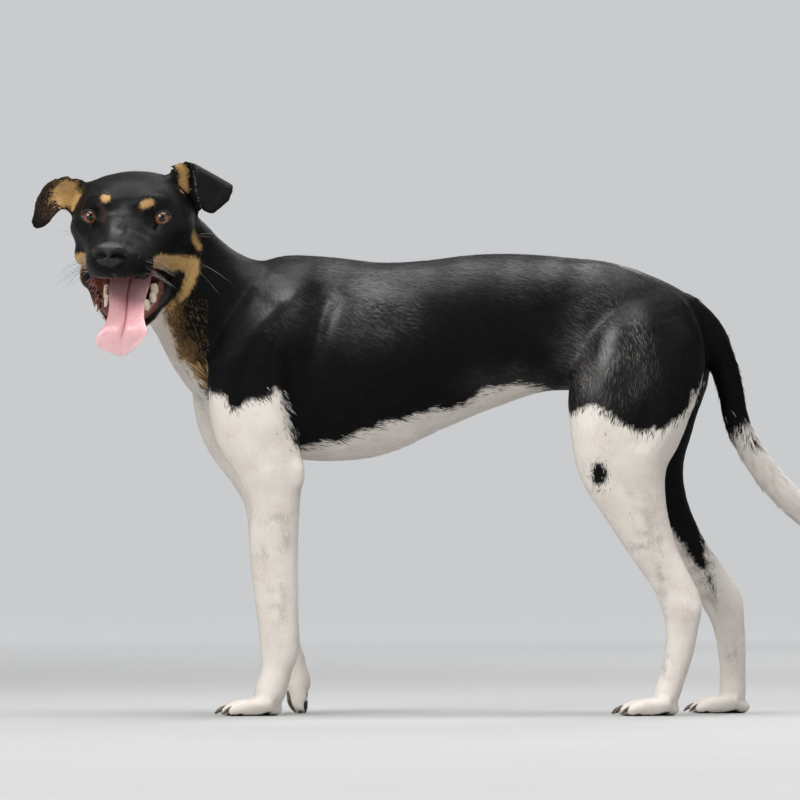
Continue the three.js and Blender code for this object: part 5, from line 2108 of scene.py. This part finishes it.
@dataclass(frozen=True)
class SkinFinish:
    """The skin under the coat: the coat's colours with the relief of flat hair; bare parts are moist."""

    colours: CoatColours = CoatColours()
    bare_dark: Colour = (0.006, 0.0045, 0.004)
    mouth: Colour = (0.20, 0.055, 0.045)
    mouth_deep: Colour = (0.045, 0.012, 0.010)
    warm: Colour = (0.34, 0.135, 0.12)
    pink: Colour = (0.60, 0.47, 0.42)

    def material(self) -> Material:
        """Streaks along the hair's way, from coordinates rolled out along each part."""
        graph = Graph("skin")
        marks = graph.stored("marks")
        bare, mouth, warm = graph.stored("bare")
        lie = graph.node("ShaderNodeAttribute", {"attribute_name": "lie"}, {}).part("Vector")
        gloss = graph.stored("lie")[2]
        streak = graph.node("ShaderNodeMapping", {}, {"Vector": lie, "Scale": (1.4, 0.16, 0.0)})
        fine = graph.noise(streak, 1.0, 4.0) * (1 - graph.stored("calm")[0])
        colour = self.colours.of(graph, marks, fine * 0.7, 0.2)
        where = graph.place()
        spots = graph.noise(where, 0.35, 3.0)
        inside = graph.mix(spots.smooth(0.35, 0.7), self.mouth_deep, self.mouth)
        rosy = graph.noise(where, 0.035, 3.0).smooth(0.42, 0.7)
        colour = graph.mix(marks[0] * rosy * 0.45, colour, self.pink)
        naked = graph.mix(mouth, self.bare_dark, inside)
        naked = graph.mix(warm, naked, self.warm)
        colour = graph.mix(bare, colour, naked)
        rough = 0.62 - bare * 0.25 - mouth * 0.12
        pores = graph.cells(where, 1.3)
        height = fine * (1 - bare) * (1.8 - marks[0]) + pores * bare * 0.35
        shine = (gloss * (1 - marks[0]) * (1 - bare) + bare * (0.02 + mouth * 0.38)).clamp()
        return graph.finish(colour, rough, graph.bump(height, 0.4), Specular_IOR_Level=0.08,
                            Coat_Weight=shine, Coat_Roughness=0.3)


@dataclass(frozen=True)
class EyeFinish:
    """Amber-brown iris with a dark rim and pupil, under a clear wet coat.

    Attributes:
        pupil, iris: their radii in millimetres.
        amber, brown, rim, black: from the iris's light middle to the pupil.
        shade: the painted shadow of the upper lid over the iris's top.
        white, vein: of the ball around it.
    """

    pupil: float = 3.5
    iris: float = 7.5
    amber: Colour = (0.42, 0.19, 0.075)
    brown: Colour = (0.12, 0.045, 0.018)
    shade: Colour = (0.03, 0.011, 0.005)
    rim: Colour = (0.006, 0.003, 0.002)
    black: Colour = (0.001, 0.001, 0.001)
    white: Colour = (0.25, 0.20, 0.18)
    vein: Colour = (0.30, 0.12, 0.09)

    def material(self) -> Material:
        """Rings from the stored distance to the gaze's axis, fine rays in the iris, and a painted lid
        shadow.
        """
        graph = Graph("eye")
        across, up, _ = graph.stored("gaze")
        distance = (across * across + up * up) ** 0.5
        around = {0: across / (distance + 0.2), 1: up / (distance + 0.2), 2: distance * 0.05}
        rays = graph.noise(graph.node("ShaderNodeCombineXYZ", {}, around), 9.0, 4.0, 0.6)
        ring = (distance / self.iris).clamp()
        light = graph.mix(rays.smooth(0.3, 0.72), self.brown, self.amber)
        iris = graph.mix((ring.smooth(0.42, 0.8) * rays * 1.2).clamp(), light, self.brown)
        # painted shadow: the upper lid's shade, darkening the iris towards its top
        iris = graph.mix(up.smooth(-1.5, 5.0) * 0.75, iris, self.shade)
        iris = graph.mix(distance.smooth(self.iris - 1.4, self.iris - 0.2), iris, self.rim)
        iris = graph.mix(distance.smooth(self.pupil + 0.25, self.pupil - 0.25), iris, self.black)
        veins = graph.noise(graph.place(), 0.5, 5.0)
        white = graph.mix(veins.smooth(0.5, 0.75), self.white, self.vein)
        colour = graph.mix(distance.smooth(self.iris - 0.1, self.iris + 0.5), iris, white)
        return graph.finish(colour, 0.4, Coat_Weight=1.0, Coat_Roughness=0.02, Specular_IOR_Level=0.05)


@dataclass(frozen=True)
class LeatherFinish:
    """Moist bare skin: nose, gums, lids or pads, pebbled by cells.

    Attributes:
        name: of the material.
        low, high: its darkest and palest tone.
        pebble: pebbles for each millimetre.
        depth: of the pebbles, in millimetres.
        roughness, coat: of the surface.
        deep: the painted shade in a hollow, such as the nostrils.
    """

    name: str
    low: Colour
    high: Colour
    pebble: float
    depth: float
    roughness: float
    coat: float = 0.0
    deep: Colour = (0.0006, 0.0005, 0.0005)

    def material(self) -> Material:
        """Cells for pebbles, a slow noise for tone, and painted shade where the mesh stores a hollow."""
        graph = Graph(self.name)
        where = graph.place()
        cells = graph.cells(where, self.pebble)
        tone = graph.noise(where, self.pebble * 0.25, 4.0)
        colour = graph.mix(tone.smooth(0.35, 0.7), self.low, self.high)
        height = (1 - cells) * 0.8 + tone * 0.2
        rough = self.roughness + tone * 0.16
        # painted shade: dark and matte in the nostrils' hollows
        hollow = graph.stored("hollow")[0]
        colour = graph.mix(hollow.smooth(0.25, 0.7), colour, self.deep)
        rough = rough + hollow * (0.95 - rough)
        return graph.finish(colour, rough, graph.bump(height, self.depth), Coat_Weight=self.coat,
                            Coat_Roughness=0.18, Specular_IOR_Level=0.4)


@dataclass(frozen=True)
class TongueFinish:
    """Wet pink tongue: painted shade in its groove, paler at its rims and tip, with fine papillae."""

    rose: Colour = (0.74, 0.34, 0.37)
    pale: Colour = (0.90, 0.60, 0.62)
    # the painted shade of the groove
    deep: Colour = (0.30, 0.06, 0.07)

    def material(self) -> Material:
        """Tone from the distance across and along, stored on the mesh."""
        graph = Graph("tongue")
        across, along, _ = graph.stored("leaf")
        where = graph.place()
        spots = graph.noise(where, 0.5, 4.0)
        colour = graph.mix(spots.smooth(0.3, 0.75) * 0.4 + across * 0.2, self.rose, self.pale)
        colour = graph.mix(along.smooth(0.55, 0.95) * 0.75, colour, self.pale)
        # painted shade: dark red along the middle groove
        colour = graph.mix(across.smooth(0.09, 0.0) * along.smooth(0.8, 0.6) * 0.85, colour, self.deep)
        papillae = graph.bump(1 - graph.cells(where, 1.1), 0.22)
        return graph.finish(colour, 0.34 + spots * 0.14, papillae, Coat_Weight=0.35, Coat_Roughness=0.15,
                            Subsurface_Weight=0.15, Subsurface_Scale=0.004)


@dataclass(frozen=True)
class HornFinish:
    """Hard streaked stuff: claws, whiskers and teeth.

    Attributes:
        name: of the material.
        low, high: its darkest and palest tone.
        roughness: of the surface.
        scale: streaks for each millimetre.
    """

    name: str
    low: Colour
    high: Colour
    roughness: float
    scale: float = 0.5

    def material(self) -> Material:
        """A slow noise between two tones."""
        graph = Graph(self.name)
        tone = graph.noise(graph.place((1.0, 1.0, 0.4)), self.scale, 4.0)
        colour = graph.mix(tone.smooth(0.3, 0.7), self.low, self.high)
        return graph.finish(colour, self.roughness + tone * 0.15, graph.bump(tone, 0.12),
                            Coat_Weight=0.1, Coat_Roughness=0.2)


NOSE_LEATHER = LeatherFinish("nose_leather", (0.006, 0.005, 0.005), (0.018, 0.015, 0.015), 0.95, 0.3,
                             0.46, 0.06)
LID_LEATHER = LeatherFinish("lid_leather", (0.004, 0.0035, 0.0035), (0.010, 0.008, 0.008), 1.4, 0.1, 0.5)
GUM_LEATHER = LeatherFinish("gum", (0.10, 0.028, 0.022), (0.22, 0.07, 0.055), 0.8, 0.2, 0.36, 0.25)
PAD_LEATHER = LeatherFinish("pad_leather", (0.010, 0.009, 0.009), (0.030, 0.026, 0.025), 0.8, 0.4, 0.62)
CLAW_HORN = HornFinish("claw_horn", (0.030, 0.022, 0.017), (0.13, 0.095, 0.07), 0.32)
WHISKER = HornFinish("whisker", (0.06, 0.056, 0.054), (0.38, 0.36, 0.34), 0.4, 0.05)
TOOTH = HornFinish("tooth", (0.56, 0.47, 0.33), (0.72, 0.65, 0.52), 0.24)


# -----------------------------------------------------------------------------
# Face, feet and the studio
# -----------------------------------------------------------------------------


@dataclass
class Maker:
    """Turns shells into finished objects.

    Attributes:
        drawing: the frames.
    """

    drawing: Drawing

    def piece(self, name: str, shells: list[Shell], material: Material,
              in_head: bool = True) -> Object:
        """Joins shells into one smooth object with a material, riding on the body.

        Args:
            name: of the object.
            shells: closed shells.
            material: for all of them.
            in_head: whether they are in the head's frame, or in the drawing's.
        Returns:
            The object.
        """
        whole = join_shells(shells)
        points = self.drawing.from_head(whole.points) if in_head else whole.points
        made = linked(name, mesh_of(name, self.drawing.to_solids(points), whole.faces))
        return self.dress(made, material)

    def dress(self, made: Object, material: Material) -> Object:
        """Gives an object its material and smooth faces, and lets it ride on the body."""
        made.data.materials.append(material)
        made.data.polygons.foreach_set("use_smooth", np.ones(len(made.data.polygons), bool))
        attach(made, "root")
        log.info("made %s: %d faces", made.name, len(made.data.polygons))
        return made


FLESH_NODES = (
    "trunk", "head", "neck", "tail_end", "tail", "foreleg_left", "forepaw_left", "hindleg_left",
    "hindpaw_left", "foreleg_right", "forepaw_right", "hindleg_right", "hindpaw_right", "lower_jaw",
    "ear_left", "ear_right",
)


@dataclass
class Hide:
    """The skin and its coat as finished objects.

    Attributes:
        maker, skin, markings: what they are made with.
        torn: how far apart, in millimetres, the rolled-out corners of a quad may lie.
    """

    maker: Maker
    skin: Skin
    markings: Markings
    torn: float = 9.0

    def dressed_skin(self) -> None:
        """The skin with its marks, bare places and the rolled-out coordinates of the hair's streaks."""
        skin = self.skin
        parts, normals = skin.parts(), skin.normals()
        mesh = mesh_of("skin", self.maker.drawing.to_solids(skin.points), [skin.quads])
        found = self.markings.of(skin.points, parts, normals)
        bare = self.markings.bare(skin.points, parts, normals)
        tan = blend(-1.0, 1.0, found.tan) * 0.9
        white = blend(-1.5, 1.5, found.white) * (1 - 0.4 * found.grey)
        paint(mesh, "marks", np.stack([white, tan, found.flush], -1))
        mouth = blend(-1.6, 0.2, self.markings.mouth(skin.in_head())) * np.isin(parts, FACE)
        paint(mesh, "bare", np.stack([bare, mouth, self.markings.warm(skin.points, parts)], -1))
        rolled = self.rolled()
        torn = np.ptp(rolled[skin.quads][..., :2], axis=1).max(axis=1) > self.torn
        calm = np.zeros(len(parts))
        calm[skin.quads[torn]] = 1.0
        paint(mesh, "calm", np.repeat(calm[:, None], 3, axis=1))
        rolled[:, 2] = found.gloss
        paint(mesh, "lie", rolled)
        write_unwrap(mesh, skin.unwrapped(skin.quads, tuple(Part)))
        made = self.maker.dress(linked("skin", mesh), SkinFinish().material())
        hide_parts(*FLESH_NODES)

    def rolled(self) -> Array:
        """Distance around and along the part's middle line for each point, in millimetres."""
        lines, row = self.skin.lines, self.skin.row
        high, wide, ahead = lines.local(self.skin.points, row)
        along = lines.share[row] * lines.length[row] + ahead
        return np.stack([np.arctan2(wide, high) * lines.girth[row], along, 0 * along], -1)

    def coat(self) -> None:
        """All pieces of the coat."""
        coat = Coat(self.skin, self.markings)
        material = HairFinish().material()
        for index, region in enumerate(Region):
            self.maker.dress(coat.build(region, index), material)

    def make(self) -> None:
        """Builds the skin, then the coat on it."""
        self.dressed_skin()
        self.coat()


# The nose leather's nostrils with their slits, the wings over them, their floors, and the middle groove,
# in the head's frame from the nose's own middle plane.
NOSE_RELIEFS = (
    Relief(((83, 7.0, -24.0), (80, 10.5, -23.5), (76, 13.5, -25.0)), 3.5, -8.5),
    Relief(((76, 13.5, -25.5), (72, 17.0, -28.5)), 1.6, -2.4),
    Relief(((80, 8.0, -16.5), (76, 14.5, -18.5), (70, 17.0, -23.0)), 3.2, 1.3),
    Relief(((81, 7.5, -31.5), (77, 11.5, -32.0)), 2.2, 0.6),
    Relief(((84, 0.0, -24.0), (82, 0.0, -30.0), (76, 0.0, -36.0)), 0.9, -1.3, False),
)
# A crown's section from its root to its tip: distance under the tip, and its share of the full width.
CROWN = [(13.0, 0.95), (7.0, 1.1), (3.2, 1.02), (1.0, 0.78), (0.0, 0.42)]
# The cusps of a tooth: shift along it, how much lower its tip is, and its size.
CUSPS = ((0.0, 0.0, 1.0), (-0.95, 2.4, 0.8), (0.95, 2.8, 0.76))
GUMS = (
    [(-14, 31, -68), (6, 30.5, -76), (20, 30.5, -83), (32, 26, -88), (41, 19, -93)],
    [(-14, -22, -69), (8, -19, -78), (24, -15.5, -86), (36, -9, -92)],
)
# Single long hairs of brow and cheek: root, way and length.
LONG_HAIRS = (
    ((-42, 62, -22), (0.1, 0.9, 0.3), 17), ((-44, 62, -24), (0.2, 0.95, 0.12), 13),
    ((-50, 60, -56), (0.0, 0.85, -0.4), 34), ((-44, 60, -60), (0.1, 0.7, -0.6), 26),
)


@dataclass
class Face:
    """Eyes, lids, nose, lips, teeth, tongue and whiskers.

    Attributes:
        maker, skin: what they are made with.
        lid: half the thickness of a lid's rim.
        cornea, cornea_angle: height of the cornea's bulge, and its size in degrees.
        nose_plane: where the nose's middle plane lies.
        whisker: radius of a whisker at its root.
    """

    maker: Maker
    skin: Skin
    lid: float = 0.8
    cornea: float = 0.8
    cornea_angle: float = 27.0
    nose_plane: float = -2.3
    whisker: float = 0.24

    def eyeball(self, name: str, eye: Eye, material: Material) -> None:
        """A ball with the cornea's bulge, which fades as exp(-(angle from the gaze / its size)^2)."""
        axes = eye.axes()
        lat = np.linspace(0, np.pi, 66)[1:-1, None]
        lon = np.linspace(0, 2 * np.pi, 64, endpoint=False)[None, :]
        bulge = self.cornea * np.exp(-((np.degrees(lat) / self.cornea_angle) ** 2))
        radius = EYE_RADIUS + bulge + 0 * lon
        across = radius * np.sin(lat)
        local = np.stack([radius * np.cos(lat), across * np.cos(lon), across * np.sin(lon)], -1)
        shell = tube(np.array(eye.at) + local @ axes)
        made = self.maker.piece(name.replace("eye", "eyeball"), [shell], material)
        away = (shell.points - np.array(eye.at)) @ axes.T
        paint(made.data, "gaze", away[:, [1, 2, 0]])
        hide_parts(name)

    def lids(self, name: str, eye: Eye, material: Material) -> None:
        """The dark rims: a ring along the almond on a ball a little larger than the eye, and the corner."""
        outline, axes = eye.almond(72), eye.axes()
        ahead = np.sqrt(np.maximum((EYE_RADIUS + 0.5) ** 2 - (outline**2).sum(-1), 4.0))[:, None]
        path = np.array(eye.at) + np.hstack([ahead, outline]) @ axes
        outward = unit(np.hstack([0 * ahead - 0.15, outline])) @ axes
        upper = blend(-2, 3, outline[:, 1])
        reach = np.stack([self.lid * (0.75 + 0.5 * upper), self.lid * (0.6 + 0.45 * upper)], -1)
        corner = ball(path[0] - 1.2 * axes[0] - 1.0 * axes[1], (1.8, 1.8, 1.5), 10, 16)
        shells = [ring_pipe(path, outward, reach), corner]
        self.maker.piece(name.replace("eye", "lids"), shells, material)

    def nose(self, material: Material) -> None:
        """The nose leather: a loft with its reliefs, drawn in towards its foot."""
        shell = Loft(NOSE, (0, 0, 1), 120, 2.3, (), 14).shell()
        away = unit(shell.points - np.array([66, self.nose_plane, -26]))
        lift = sum(relief.lift(shell.points, self.nose_plane) for relief in NOSE_RELIEFS)
        shell.points = shell.points + away * lift[:, None]
        low = np.clip((-27 - shell.points[:, 2]) / 12, 0, 1)
        shell.points[:, 1] = -2.0 + (shell.points[:, 1] + 2.0) * (1 - 0.42 * low**1.3)
        made = self.maker.piece("nose_leather", [shell], material)
        # the nostrils' depth, which the leather paints as shade
        paint(made.data, "hollow", np.stack([np.clip(-lift / 5.0, 0, 1)] * 3, -1))
        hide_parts("nose")

    def on_face(self, tree: BVHTree, root: Array) -> Array:
        """The place on the skin nearest to a head-frame point."""
        return np.array(tree.find_nearest(list(root))[0])

    def lip_points(self, tree: BVHTree, material: Material) -> None:
        """The soft reddish points that hang over the lower lip's edge on its right."""
        rng = np.random.default_rng(5)
        shells = []
        path = spline(LOWER_LIP_RIGHT[:4], 24)
        radius = np.array([1.0, 1.05, 1.0, 0.85, 0.7, 0.35])
        t = np.linspace(-0.15, 1, len(radius))[:, None]
        for step in np.linspace(4, len(path) - 1, 90).astype(int):
            root = path[step] + np.array([rng.uniform(-2, 3), rng.uniform(-1, 7), rng.uniform(-3, 5)])
            foot = self.on_face(tree, root)
            way = unit(np.array([0.45, -rng.uniform(0.5, 1.2), rng.uniform(-1.1, -0.1)]))
            length = rng.uniform(1.6, 2.9)
            bend = np.array([0, 0, -0.5 * length])
            shells.append(pipe(foot + way * length * t + bend * t**2, radius, 6, 0.7))
        self.maker.piece("lip_points", shells, material)

    def teeth(self, material: Material, flesh: Material) -> None:
        """The lower teeth as crowns with rounded cusps, and the gums that hold them.

        A crown's section is full at the gum and narrows to its tip; each tooth has a main cusp and a
        lower one on both its sides.
        """
        shells = []
        under, full = np.array(CROWN).T
        for forward, left, half_length, half_width, tip in TEETH:
            inner, slim = np.sign(left), 1.0 if left > 0 else 0.7
            wide = np.array([[0.62 * half_length] * 2 + [1.2 * half_width * slim]])
            for shift, drop, size in CUSPS:
                ahead = forward + shift * half_length * 0.8 + 0 * under
                middle = np.stack([ahead, left + 0.06 * inner * under, tip - drop - under], -1)
                rows = np.hstack([middle, full[:, None] * size * wide])
                shells.append(Loft(rows, (1, 0, 0), 20, 2.3, (), 4).shell())
        self.maker.piece("teeth", shells, material)
        gums = []
        for line in GUMS:
            path = spline(line, 8)
            share = np.linspace(0, 1, len(path))
            gums.append(pipe(path, 5.2 - 1.6 * share + 0.4 * np.sin(26 * share), 16, 1.2))
        self.maker.piece("gums", gums, flesh)

    def tongue(self, material: Material) -> None:
        """The tongue: a leaf with a groove along its middle and slightly uneven rims."""
        leaf = Leaf(TONGUE, (0.3, 0, 1), 41, 10, 0.5)
        rows = len(leaf.sheet()[0])
        w = np.sin(np.linspace(-np.pi / 2, np.pi / 2, leaf.lines))
        along = np.linspace(0, 1, rows)[:, None]
        groove = -2.2 * np.exp(-((w[None, :] / 0.10) ** 2)) * (1 - 0.8 * blend(0.6, 0.85, along))
        ripple = 0.35 * np.sin(9 * w[None, :] + 14 * along) * np.abs(w[None, :]) * blend(0.0, 0.2, along)
        made = self.maker.piece("tongue_flesh", [leaf.shell(groove + ripple)], material)
        across = np.tile(np.abs(np.concatenate([w, w[::-1]])), rows)
        along = np.repeat(along[:, 0], 2 * leaf.lines)
        stored = np.stack([across, along, 0 * along], -1)
        paint(made.data, "leaf", np.vstack([stored, [[0, 0, 0], [0, 1, 0]]]))
        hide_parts("tongue")

    def whisker_line(self, place: Array, way: Array, length: float, droop: Point) -> Shell:
        """One stiff hair.

        Args:
            place: its root on the skin.
            way: the direction that it starts in.
            length: how long it is.
            droop: how its tip bends away, as shares of the length.
        Returns:
            A pipe that thins to its tip.
        """
        t = np.linspace(0, 1, 8)[:, None]
        path = place - way + way * length * t + np.array(droop) * length * t**2
        return pipe(path, np.linspace(self.whisker, self.whisker / 4, len(path)), 5)

    def whiskers(self, tree: BVHTree, material: Material) -> None:
        """Stiff hairs from both sides of the muzzle, in three rows of four, and a few from the cheeks."""
        rng = np.random.default_rng(21)
        shells = []
        for side in (-1, 1):
            for row in range(3):
                for k in range(4):
                    place = self.on_face(tree, (50 - 9 * k, side * 30, -34 - 6.5 * row))
                    way = unit(np.array([-0.15 - 0.12 * k, side, -0.25 + 0.22 * rng.normal()]))
                    length = rng.uniform(20, 34)
                    shells.append(self.whisker_line(place, way, length, (-0.25, 0, -0.35)))
            for root, way, length in LONG_HAIRS:
                place = self.on_face(tree, mirrored(root, side))
                way = unit(mirrored(way, side))
                shells.append(self.whisker_line(place, way, length, (-0.1, 0, -0.2)))
        self.maker.piece("whiskers", shells, material)

    def make(self) -> None:
        """Builds all pieces of the face."""
        head = self.skin.in_head()
        tree = BVHTree.FromPolygons(head.tolist(), self.skin.quads.tolist())
        eye_skin, lid_skin = EyeFinish().material(), LID_LEATHER.material()
        for name, eye in EYES.items():
            self.eyeball(name, eye, eye_skin)
            self.lids(name, eye, lid_skin)
        self.nose(NOSE_LEATHER.material())
        gum = GUM_LEATHER.material()
        self.lip_points(tree, gum)
        self.teeth(TOOTH.material(), gum)
        self.tongue(TongueFinish().material())
        self.whiskers(tree, WHISKER.material())


@dataclass
class Feet:
    """Claws and pads.

    Attributes:
        maker: what they are made with.
        pad_height: of the middles of the pads over the sole.
        toe_pad, heel_pad: half sizes of a pad: forward, across and up.
    """

    maker: Maker
    pad_height: float = 4.2
    toe_pad: Point = (7.0, 4.6, 3.6)
    heel_pad: Point = (9.0, 11.0, 3.8)

    def claws(self, name: str, foot: Foot, material: Material) -> None:
        """Four curved claws of one foot."""
        shells = []
        rows = spline(CLAW_PROFILE, 5)
        forward, up = foot.claws
        for across, fan, length in TOES:
            ahead = rows[:, 0] + (forward - (1 - length * foot.reach) * TOE_LENGTH)
            radius = rows[:, 2]
            stations = [ahead, across + fan * ahead, rows[:, 1] + up, radius, radius, 0.8 * radius]
            claw = Loft(np.stack(stations, -1), (0, 0, 1), 16, 2.0, (), 1).shell()
            shells.append(foot.placed(claw))
        kind, side = name.split("_")
        claw = "foreclaw" if kind == "forepaw" else "hindclaw"
        made = self.maker.piece(f"claws_{name}", shells, material, False)
        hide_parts(*[f"{claw}_{side}_{k}" for k in range(1, 5)])

    def pads(self, name: str, foot: Foot, material: Material) -> None:
        """Toe pads and the middle pad under one foot, flattened by the floor."""
        shells = []
        for across, fan, length in TOES:
            ahead = 27 * length * foot.reach
            at = (ahead, across + fan * ahead, self.pad_height)
            shells.append(ball(at, np.array(self.toe_pad) * (length, 1, 1), 14, 20))
        shells.append(ball((3, 0, self.pad_height), self.heel_pad, 16, 28))
        placed = [foot.placed(shell) for shell in shells]
        for shell in placed:
            shell.points[:, 2] = np.maximum(shell.points[:, 2], SOLE)
        self.maker.piece(f"pads_{name}", placed, material, False)

    def make(self) -> None:
        """Builds claws and pads of all four feet."""
        horn, leather = CLAW_HORN.material(), PAD_LEATHER.material()
        for name, foot in FEET.items():
            self.claws(name, foot, horn)
            self.pads(name, foot, leather)


@dataclass
class Studio:
    """Camera, floor and light.

    Attributes:
        drawing: the frames.
        eye: the camera's place in drawing millimetres.
        target: what it looks at.
        lens: focal length for a 36 mm sensor.
        radius, flat: the floor's radius, and that of its flat part, in metres.
        cells: quads along a side of the floor's grid.
        lit: what the lights look at, in metres.
    """

    drawing: Drawing
    eye: Point = (0.0, -6000.0, 150.0)
    target: Point = (0.0, 0.0, 312.0)
    lens: float = 270.0
    radius: float = 11.5
    flat: float = 7.5
    cells: int = 44
    lit: Point = (0.0, 0.0, 0.3)

    def aimed(self, name: str, data: bpy.types.ID, place: Vector, target: Vector) -> Object:
        """A camera or light in the scene, which looks at its target."""
        made = bpy.data.objects.new(name, data)
        made.location = place
        made.rotation_euler = (target - place).to_track_quat("-Z", "Y").to_euler()
        bpy.context.scene.collection.objects.link(made)
        return made

    def camera(self) -> None:
        """A long lens, level with the dog's side."""
        data = bpy.data.cameras.new("camera")
        data.lens = self.lens
        data.sensor_width = 36.0
        data.clip_end = 100.0
        eye, target = (Vector(self.drawing.to_solids(np.array(v))) for v in (self.eye, self.target))
        bpy.context.scene.camera = self.aimed("camera", data, eye, target)

    def floor(self) -> None:
        """A wide round floor whose far rim turns up and glows softly into a pale backdrop all round.

        Its colour grows paler and its glow grows with the distance from the dog: painted light, that
        makes up for the lamps' light falling off far away.

        A square grid is rounded to a disc by x = u sqrt(1 - v^2 / 2), y = v sqrt(1 - u^2 / 2), and rises
        by the square of the way past its flat part.
        """
        across = np.linspace(-1, 1, self.cells + 1)
        u, v = np.meshgrid(across, across)
        x, y = self.radius * u * np.sqrt(1 - v**2 / 2), self.radius * v * np.sqrt(1 - u**2 / 2)
        z = 0.22 * np.maximum(np.hypot(x, y) - self.flat, 0) ** 2
        step = len(across)
        row, col = np.arange(self.cells)[:, None] * step, np.arange(self.cells)[None, :]
        quads = grid_quads(row, row + step, col, col + 1)
        grid = np.stack([x, y, z], -1).reshape(-1, 3)
        made = linked("floor", mesh_of("floor", grid, [quads]))
        graph = Graph("floor")
        where = graph.place()
        tone = graph.noise(where, 0.004, 2.0)
        east = graph.node("ShaderNodeSeparateXYZ", {}, {0: where})
        north = east.part("Y")
        distance = (east * east + north * north) ** 0.5
        colour = graph.mix(tone, (0.37, 0.37, 0.365), (0.40, 0.40, 0.395))
        # painted light: the floor grows paler far from the dog, where the lamps' light falls off
        colour = graph.mix(distance.smooth(1500.0, 5000.0), colour, (0.6, 0.6, 0.6))
        # painted light: the far floor glows, though it is no lamp
        glow = graph.mix(distance.smooth(900.0, 6400.0), (0.0, 0.0, 0.0), (0.41, 0.42, 0.43))
        made.data.materials.append(graph.finish(colour, 0.7, Emission_Color=glow, Emission_Strength=1.0))
        made.data.polygons.foreach_set("use_smooth", np.ones(len(made.data.polygons), bool))

    def light(self, name: str, place: Point, size: float, power: float, colour: Colour) -> None:
        """One round soft light that looks at the middle of the dog."""
        data = bpy.data.lights.new(name, "AREA")
        data.shape = "DISK"
        data.size = size
        data.energy = power
        data.color = colour
        self.aimed(name, data, Vector(place), Vector(self.lit))

    def make(self) -> None:
        """Sets everything up."""
        self.camera()
        self.floor()
        self.light("key", (-1.9, -2.3, 2.2), 1.6, 70.0, (1.0, 0.985, 0.96))
        self.light("sky", (0.1, -0.1, 2.9), 3.0, 135.0, (0.98, 0.99, 1.0))
        self.light("fill", (2.2, -3.0, 1.2), 1.6, 10.0, (1.0, 0.99, 0.98))
        self.light("back", (1.2, 3.2, 2.4), 1.6, 38.0, (1.0, 0.99, 0.98))
        world = bpy.data.worlds.new("world")
        world.use_nodes = True
        background = world.node_tree.nodes["Background"]
        background.inputs["Color"].default_value = (0.90, 0.93, 0.96, 1.0)
        background.inputs["Strength"].default_value = 0.14
        bpy.context.scene.world = world
        bpy.context.scene.view_settings.view_transform = "Standard"


def main() -> None:
    """Builds the dog, piece by piece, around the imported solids."""
    logging.basicConfig(level=logging.INFO, format="%(name)s: %(message)s")
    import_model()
    drawing = Drawing.from_solids()
    studio = Studio(drawing)
    studio.make()
    anatomy = Anatomy(drawing)
    skin = Skin(anatomy, Lines.of(anatomy))
    skin.make()
    maker = Maker(drawing)
    Hide(maker, skin, Markings(anatomy)).make()
    Face(maker, skin).make()
    Feet(maker).make()


if __name__ == "__main__":
    main()
